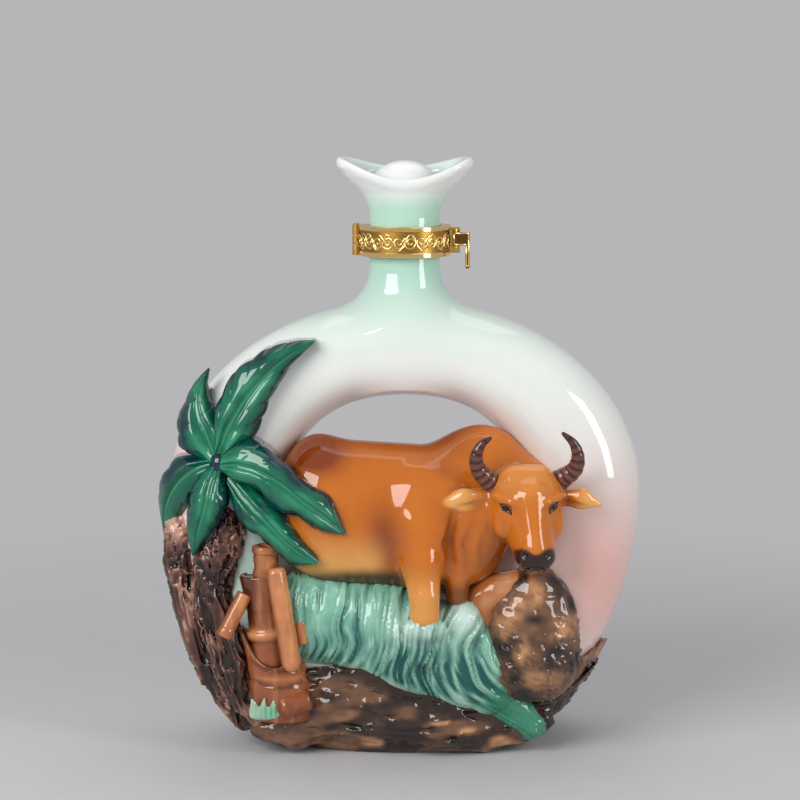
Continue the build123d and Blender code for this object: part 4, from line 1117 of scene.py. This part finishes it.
CAP_BOTTOM = 258.0
CAP_LEVELS = (258.0, 269.5, 273.0, 277.8, 281.5, 284.7, 290.2, 294.7, 300.0)
CAP_LENGTHS = (18.0, 17.9, 18.3, 19.8, 21.9, 24.8, 30.4, 33.6, 33.8)
CAP_DEPTHS = (18.0, 17.9, 18.1, 18.8, 19.4, 20.2, 21.4, 22.2, 22.6)
CAP_WALL, CAP_FLOOR_Z = 4.2, 281.0
DOME_CENTRE, DOME_RADII, DOME_FOOT_Z = (0, 0, 283.5), (18.0, 14.5, 14.4), 276.0
SOCKET_RADIUS, SOCKET_TOP_Z = 14.0, 264.0
RIM_MIDDLE, RIM_TIP, RIM_BACK, LIP = 288.4, 299.6, 5.0, 2.9


def cap_field(p):
    x, y, z = p.T
    length = np.interp(z, CAP_LEVELS, CAP_LENGTHS)
    depth = np.interp(z, CAP_LEVELS, CAP_DEPTHS)
    square = 2 + 0.6 * smoothstep(280, 292, z)
    outer = ((np.abs(x / length) ** square + np.abs(y / depth) ** square) ** (1 / square) - 1)
    outer = outer * np.minimum(length, depth)
    inner = (np.hypot(x / (length - CAP_WALL), y / (depth - CAP_WALL)) - 1) * (depth - CAP_WALL)
    out = np.clip(np.abs(x) / 34, 0, 1.1)
    rim = RIM_MIDDLE + (RIM_TIP - RIM_MIDDLE) * (1 - np.clip(1 - out ** 2, 0, 1) ** 1.3)
    rim = rim + RIM_BACK * smoothstep(-8, 14, y) * np.clip(1 - out ** 2, 0, 1)
    body = carve(outer, np.maximum(inner, CAP_FLOOR_Z - z), 2.0)
    body = -blend(-body, -(z - rim) * 0.85, 1.0)
    lip = np.hypot(outer + 2.4, (z - rim + LIP) * 0.93) - LIP
    body = blend(body, lip, 1.6)
    body = blend(body, np.maximum(ball(p, DOME_CENTRE, DOME_RADII), DOME_FOOT_Z - z), 1.2)
    body = np.maximum(body, CAP_BOTTOM - z)
    socket = np.maximum(np.hypot(x, y) - SOCKET_RADIUS, z - SOCKET_TOP_Z)
    return carve(body, socket, 0.6)


def make_cap():
    verts, faces = sculpt(cap_field, (-40, -26, 254), (40, 26, 304), grade(0.85))
    x, y, z = verts.T
    inside = smoothstep(0.97, 0.86, np.hypot(x / np.interp(z, CAP_LEVELS, CAP_LENGTHS),
                                             y / np.interp(z, CAP_LEVELS, CAP_DEPTHS)))
    dome = smoothstep(1.10, 1.02, np.sqrt((x / 18) ** 2 + (y / 14.5) ** 2 + ((z - 283.5) / 14.4) ** 2))
    inside = inside * smoothstep(277, 280, z) * smoothstep(302, 290, z) * (1 - dome)
    waist = smoothstep(287.5, 272, z)
    material = glaze("cap_glaze", (0.80, 0.81, 0.79), (0.70, 0.72, 0.69), (0.42, 0.68, 0.55),
                     rough=0.06, fine=0.0)
    piece("ingot_cap", verts, faces, "cap", ["ingot_cap"], "glaze_cap", material,
          pool=np.zeros(len(verts)), wash=np.clip(0.95 * waist * (1 - dome) + 0.6 * inside, 0, 1))


# Metal clamp

def band_mesh(profile, start, end, steps):
    """A closed profile (radius, z) swept round the neck axis between two angles."""
    verts, faces, n = [], [], len(profile)
    for k in range(steps + 1):
        a = start + (end - start) * k / steps
        for r, z in profile:
            verts.append((r * math.cos(a), r * math.sin(a), z))
    for k in range(steps):
        for j in range(n):
            i = (j + 1) % n
            faces.append([k * n + j, k * n + i, (k + 1) * n + i, (k + 1) * n + j])
    faces.append(list(range(n)))
    faces.append([steps * n + j for j in reversed(range(n))])
    return verts, faces


def finish_cad(node, material):
    """Give a CAD node its finish without touching its shape."""
    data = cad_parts[node].data
    data.materials.clear()
    data.materials.append(material)


BAND_LEVEL, BAND_ENDS, BAND_STEPS = 257.6, math.radians(6.5), 96
SCROLL_SIZES = (("Band Radius", 22.7 * MM), ("Scroll Radius", 3.7 * MM), ("Wire Radius", 0.5 * MM),
                ("Level", BAND_LEVEL * MM))
SCROLL_COUNT, SCROLL_ROTATIONS, SCROLL_EYE = 12, 1.6, 0.5


def scroll_tree(name):
    """Scrolls set round a cylinder, with sizes as named inputs."""
    tree = bpy.data.node_groups.new(name, "GeometryNodeTree")
    sockets = {}
    wanted = [("Geometry", "Geometry", None)] + [(label, "Float", size) for label, size in SCROLL_SIZES]
    for label, kind, value in wanted + [("Count", "Int", SCROLL_COUNT), ("Metal", "Material", None)]:
        item = tree.interface.new_socket(label, in_out="INPUT", socket_type="NodeSocket" + kind)
        if value is not None:
            item.default_value = value
        sockets[label] = item.identifier
    tree.interface.new_socket("Geometry", in_out="OUTPUT", socket_type="NodeSocketGeometry")
    given = tree.nodes.new("NodeGroupInput").outputs
    arc = add_node(tree, "GeometryNodeCurveArc",
                   {"Start Angle": math.pi * 1.06, "Sweep Angle": math.pi * 0.88,
                    "Radius": given["Band Radius"], "Resolution": given["Count"]})
    points = add_node(tree, "GeometryNodeCurveToPoints", {"Curve": arc.outputs["Curve"]},
                      mode="EVALUATED")
    spiral = add_node(tree, "GeometryNodeCurveSpiral",
                      {"Resolution": 22, "Rotations": SCROLL_ROTATIONS, "Height": 0.0,
                       "Start Radius": SCROLL_EYE * MM, "End Radius": given["Scroll Radius"]})
    section = add_node(tree, "GeometryNodeCurvePrimitiveCircle",
                       {"Resolution": 8, "Radius": given["Wire Radius"]})
    wire = add_node(tree, "GeometryNodeCurveToMesh",
                    {"Fill Caps": True, "Curve": spiral.outputs["Curve"],
                     "Profile Curve": section.outputs["Curve"]})
    place = add_node(tree, "GeometryNodeInputPosition")
    aim = add_node(tree, "FunctionNodeAlignEulerToVector", {"Vector": place.outputs["Position"]},
                   axis="Z")
    index = add_node(tree, "GeometryNodeInputIndex")
    parity = add_node(tree, "ShaderNodeMath", {0: index.outputs["Index"], 1: 2}, operation="MODULO")
    flip = add_node(tree, "ShaderNodeMath", {0: parity.outputs[0], 1: -2, 2: 1},
                    operation="MULTIPLY_ADD")
    size = add_node(tree, "ShaderNodeCombineXYZ", {"X": flip.outputs[0], "Y": 1, "Z": 1})
    setter = add_node(tree, "GeometryNodeInstanceOnPoints",
                      {"Points": points.outputs["Points"], "Instance": wire.outputs["Mesh"],
                       "Rotation": aim.outputs["Rotation"], "Scale": size.outputs["Vector"]})
    real = add_node(tree, "GeometryNodeRealizeInstances", {"Geometry": setter.outputs["Instances"]})
    height = add_node(tree, "ShaderNodeCombineXYZ", {"Z": given["Level"]})
    lift = add_node(tree, "GeometryNodeTransform", {"Geometry": real.outputs["Geometry"],
                                                    "Translation": height.outputs["Vector"]})
    coat = add_node(tree, "GeometryNodeSetMaterial",
                    {"Geometry": lift.outputs["Geometry"], "Material": given["Metal"]})
    add_node(tree, "NodeGroupOutput", {"Geometry": coat.outputs["Geometry"]})
    return tree, sockets


def make_scrolls(material):
    tree, sockets = scroll_tree("band_scrolls")
    for name, body, turn in (("scrolls_front", "clamp_gate", False), ("scrolls_rear", "bottle", True)):
        host = bpy.data.objects.new(name + "_host", bpy.data.meshes.new(name + "_host"))
        bpy.context.scene.collection.objects.link(host)
        modifier = host.modifiers.new("scrolls", "NODES")
        modifier.node_group = tree
        modifier[sockets["Metal"]] = material
        seen = bpy.context.evaluated_depsgraph_get()
        mesh = bpy.data.meshes.new_from_object(host.evaluated_get(seen))
        mesh.name = name
        bpy.data.objects.remove(host)
        if turn:
            for v in mesh.vertices:
                v.co.x, v.co.y = -v.co.x, -v.co.y
        mesh.polygons.foreach_set("use_smooth", [True] * len(mesh.polygons))
        obj = bpy.data.objects.new(name, mesh)
        bpy.context.scene.collection.objects.link(obj)
        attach(obj, body)


# Foot of each polished rim, its section from there (radius, rise), and the ground's (radius, z)
RIM_FEET = {"low": 250.0, "high": 262.9}
RIM_SECTION = ((22.4, 0.1), (23.3, 0.1), (23.55, 0.35), (23.55, 2.0), (23.3, 2.25), (22.4, 2.25))
GROUND_SECTION = ((22.4, 252.0), (22.72, 252.0), (22.72, 263.2), (22.4, 263.2))
VINE_RADIUS, VINE_SWING, VINE_WIRE, VINE_TURNS = 22.75, 4.0, 0.42, 12
LATCH_FACE_Y, LATCH_WIRE = -7.45, 0.42
LATCH_OUTLINE = ((24.9, 255.8), (24.9, 261.4), (32.3, 261.4), (32.3, 244.9), (31.1, 244.9),
                 (31.1, 255.8))


def make_band(polished, ground):
    """Polished rims, a darker matt ground between them, and a vine along it, on each half."""
    for side, body, start in (("front", "clamp_gate", -math.pi), ("rear", "bottle", 0.0)):
        arc = (start + BAND_ENDS, start + math.pi - BAND_ENDS, BAND_STEPS)
        for level, foot in RIM_FEET.items():
            verts, faces = band_mesh([(r, foot + rise) for r, rise in RIM_SECTION], *arc)
            turn_outwards(piece(f"rim_{level}_{side}", verts, faces, body, [], "gilt_metal",
                                polished, smooth=False))
        verts, faces = band_mesh(GROUND_SECTION, *arc)
        turn_outwards(piece(f"band_ground_{side}", verts, faces, body, [], "gilt_metal", ground,
                            smooth=False))
        angle = np.linspace(start + 0.2, start + math.pi - 0.2, 220)
        path = np.stack([VINE_RADIUS * np.cos(angle), VINE_RADIUS * np.sin(angle),
                         BAND_LEVEL + VINE_SWING * np.sin((angle - start) * VINE_TURNS)], -1)
        verts, faces = tube_mesh(path, np.full(len(path), VINE_WIRE), sides=8)
        turn_outwards(piece(f"vine_{side}", verts, faces, body, [], "gilt_metal", polished))


def make_latch_frame(polished):
    """Bright bevelled edges round the face of the latch hook."""
    for n, (a, b) in enumerate(zip(LATCH_OUTLINE, LATCH_OUTLINE[1:] + LATCH_OUTLINE[:1])):
        ends = np.array([(a[0], LATCH_FACE_Y, a[1]), (b[0], LATCH_FACE_Y, b[1])])
        verts, faces = tube_mesh(ends, (LATCH_WIRE, LATCH_WIRE), sides=10)
        turn_outwards(piece(f"latch_edge_{n + 1}", verts, faces, "latch", [], "gilt_metal", polished))


def make_clamp():
    gilt = mottled("gilt", (0.72, 0.45, 0.12), 0.22, 900, 0.2, 1)
    polished = mottled("gilt_polished", (0.93, 0.66, 0.26), 0.10, 900, 0.06, 1)
    ground = mottled("gilt_ground", (0.40, 0.22, 0.05), 0.36, 1600, 0.45, 1)
    shaded = mottled("gilt_shaded", (0.20, 0.10, 0.025), 0.25, 900, 0.2, 1)
    silicone = mottled("silicone", (0.78, 0.78, 0.74), 0.35, 700, 0.04)
    moulded = mottled("plug_white", (0.85, 0.85, 0.83), 0.3, 700, 0.03)
    for node in ("clamp_front", "clamp_rear", "hinge_pin", "latch_pin"):
        finish_cad(node, gilt)
    finish_cad("latch_hook", shaded)
    make_band(polished, ground)
    make_latch_frame(polished)
    for node in ("liner_front", "liner_rear", "neck_gasket", "plug_seal_upper", "plug_seal_lower"):
        finish_cad(node, silicone)
    finish_cad("stopper_plug", moulded)
    make_scrolls(polished)


# Light, camera and floor

BACKDROP, AMBIENT = (0.47, 0.465, 0.48), (0.34, 0.34, 0.35)
PAPER, FLOOR_HALF = (0.54, 0.54, 0.55), 6.0
FADE_START, FADE_END = 170.0, 640.0
# Each lamp: place, size and power
LAMPS = {"key_box": ((-660, -780, 650), (700, 640), 9.9),
         "right_box": ((840, -560, 440), (300, 620), 4.2),
         "top_box": ((60, 300, 1150), (900, 700), 2.2)}
LAMP_AIM = (0, 0, 130)


def seen_directly(tree):
    """1 for rays from the camera, reflections and refractions, 0 for light that falls on things."""
    path = add_node(tree, "ShaderNodeLightPath")
    value = path.outputs["Is Camera Ray"]
    for other in ("Is Glossy Ray", "Is Transmission Ray"):
        value = add_node(tree, "ShaderNodeMath", {0: value, 1: path.outputs[other]},
                         operation="MAXIMUM").outputs[0]
    return value


def mixed_output(tree, share, lit, seen, output):
    """Show one shader to things that are lit and the other to what sees it directly."""
    mix = add_node(tree, "ShaderNodeMixShader", {"Fac": share, 1: lit.outputs[0], 2: seen.outputs[0]})
    tree.links.new(mix.outputs[0], tree.nodes[output].inputs["Surface"])


def make_backdrop(scene):
    """Pale paper that fades into the pale surround, and keeps the object's shadow."""
    world = bpy.data.worlds.new("studio")
    scene.world = world
    world.use_nodes = True
    tree = world.node_tree
    tree.nodes["Background"].inputs["Color"].default_value = (*AMBIENT, 1)
    tree.nodes["Background"].inputs["Strength"].default_value = 1.0
    seen = add_node(tree, "ShaderNodeBackground", {"Color": (*BACKDROP, 1)})
    mixed_output(tree, seen_directly(tree), tree.nodes["Background"], seen, "World Output")
    paper = mottled("floor_paper", PAPER, 0.75, 40, 0.02)
    tree = paper.node_tree
    coords = add_node(tree, "ShaderNodeTexCoord")
    reach = add_node(tree, "ShaderNodeVectorMath", {0: coords.outputs["Object"]}, operation="LENGTH")
    fade = add_node(tree, "ShaderNodeMapRange",
                    {"Value": reach.outputs["Value"], "From Min": FADE_START * MM,
                     "From Max": FADE_END * MM}, interpolation_type="SMOOTHSTEP")
    share = add_node(tree, "ShaderNodeMath", {0: fade.outputs["Result"], 1: seen_directly(tree)},
                     operation="MULTIPLY")
    glow = add_node(tree, "ShaderNodeEmission", {"Color": (*BACKDROP, 1)})
    mixed_output(tree, share.outputs[0], tree.nodes["Principled BSDF"], glow, "Material Output")
    floor_mesh = bpy.data.meshes.new("floor")
    h = FLOOR_HALF
    floor_mesh.from_pydata([(-h, -h, 0), (h, -h, 0), (h, h, 0), (-h, h, 0)], [], [(0, 1, 2, 3)])
    floor_mesh.materials.append(paper)
    floor = bpy.data.objects.new("floor", floor_mesh)
    scene.collection.objects.link(floor)


def make_studio():
    scene = bpy.context.scene
    scene.view_settings.view_transform = "Standard"
    camera_data = bpy.data.cameras.new("camera")
    camera_data.lens = CAMERA_LENS
    camera_data.clip_end = 20
    camera = bpy.data.objects.new("camera", camera_data)
    scene.collection.objects.link(camera)
    elevation = math.radians(CAMERA_ELEVATION)
    aim = Vector(CAMERA_AIM)
    eye = aim + Vector((0, -math.cos(elevation), math.sin(elevation))) * CAMERA_DISTANCE
    camera.location = eye * MM
    camera.rotation_euler = (aim - eye).to_track_quat("-Z", "Y").to_euler()
    scene.camera = camera
    for name, (place, size, power) in LAMPS.items():
        data = bpy.data.lights.new(name, "AREA")
        data.shape = "RECTANGLE"
        data.size, data.size_y = size[0] * MM, size[1] * MM
        data.energy = power
        lamp = bpy.data.objects.new(name, data)
        scene.collection.objects.link(lamp)
        lamp.location = Vector(place) * MM
        lamp.rotation_euler = (Vector(LAMP_AIM) - Vector(place)).to_track_quat("-Z", "Y").to_euler()
    make_backdrop(scene)


make_studio()
make_flask()
make_ox()
make_horns()
make_eyes()
make_palm()
make_trunk()
make_bank()
make_rocks()
make_bamboo()
make_tuft()
make_cap()
make_clamp()
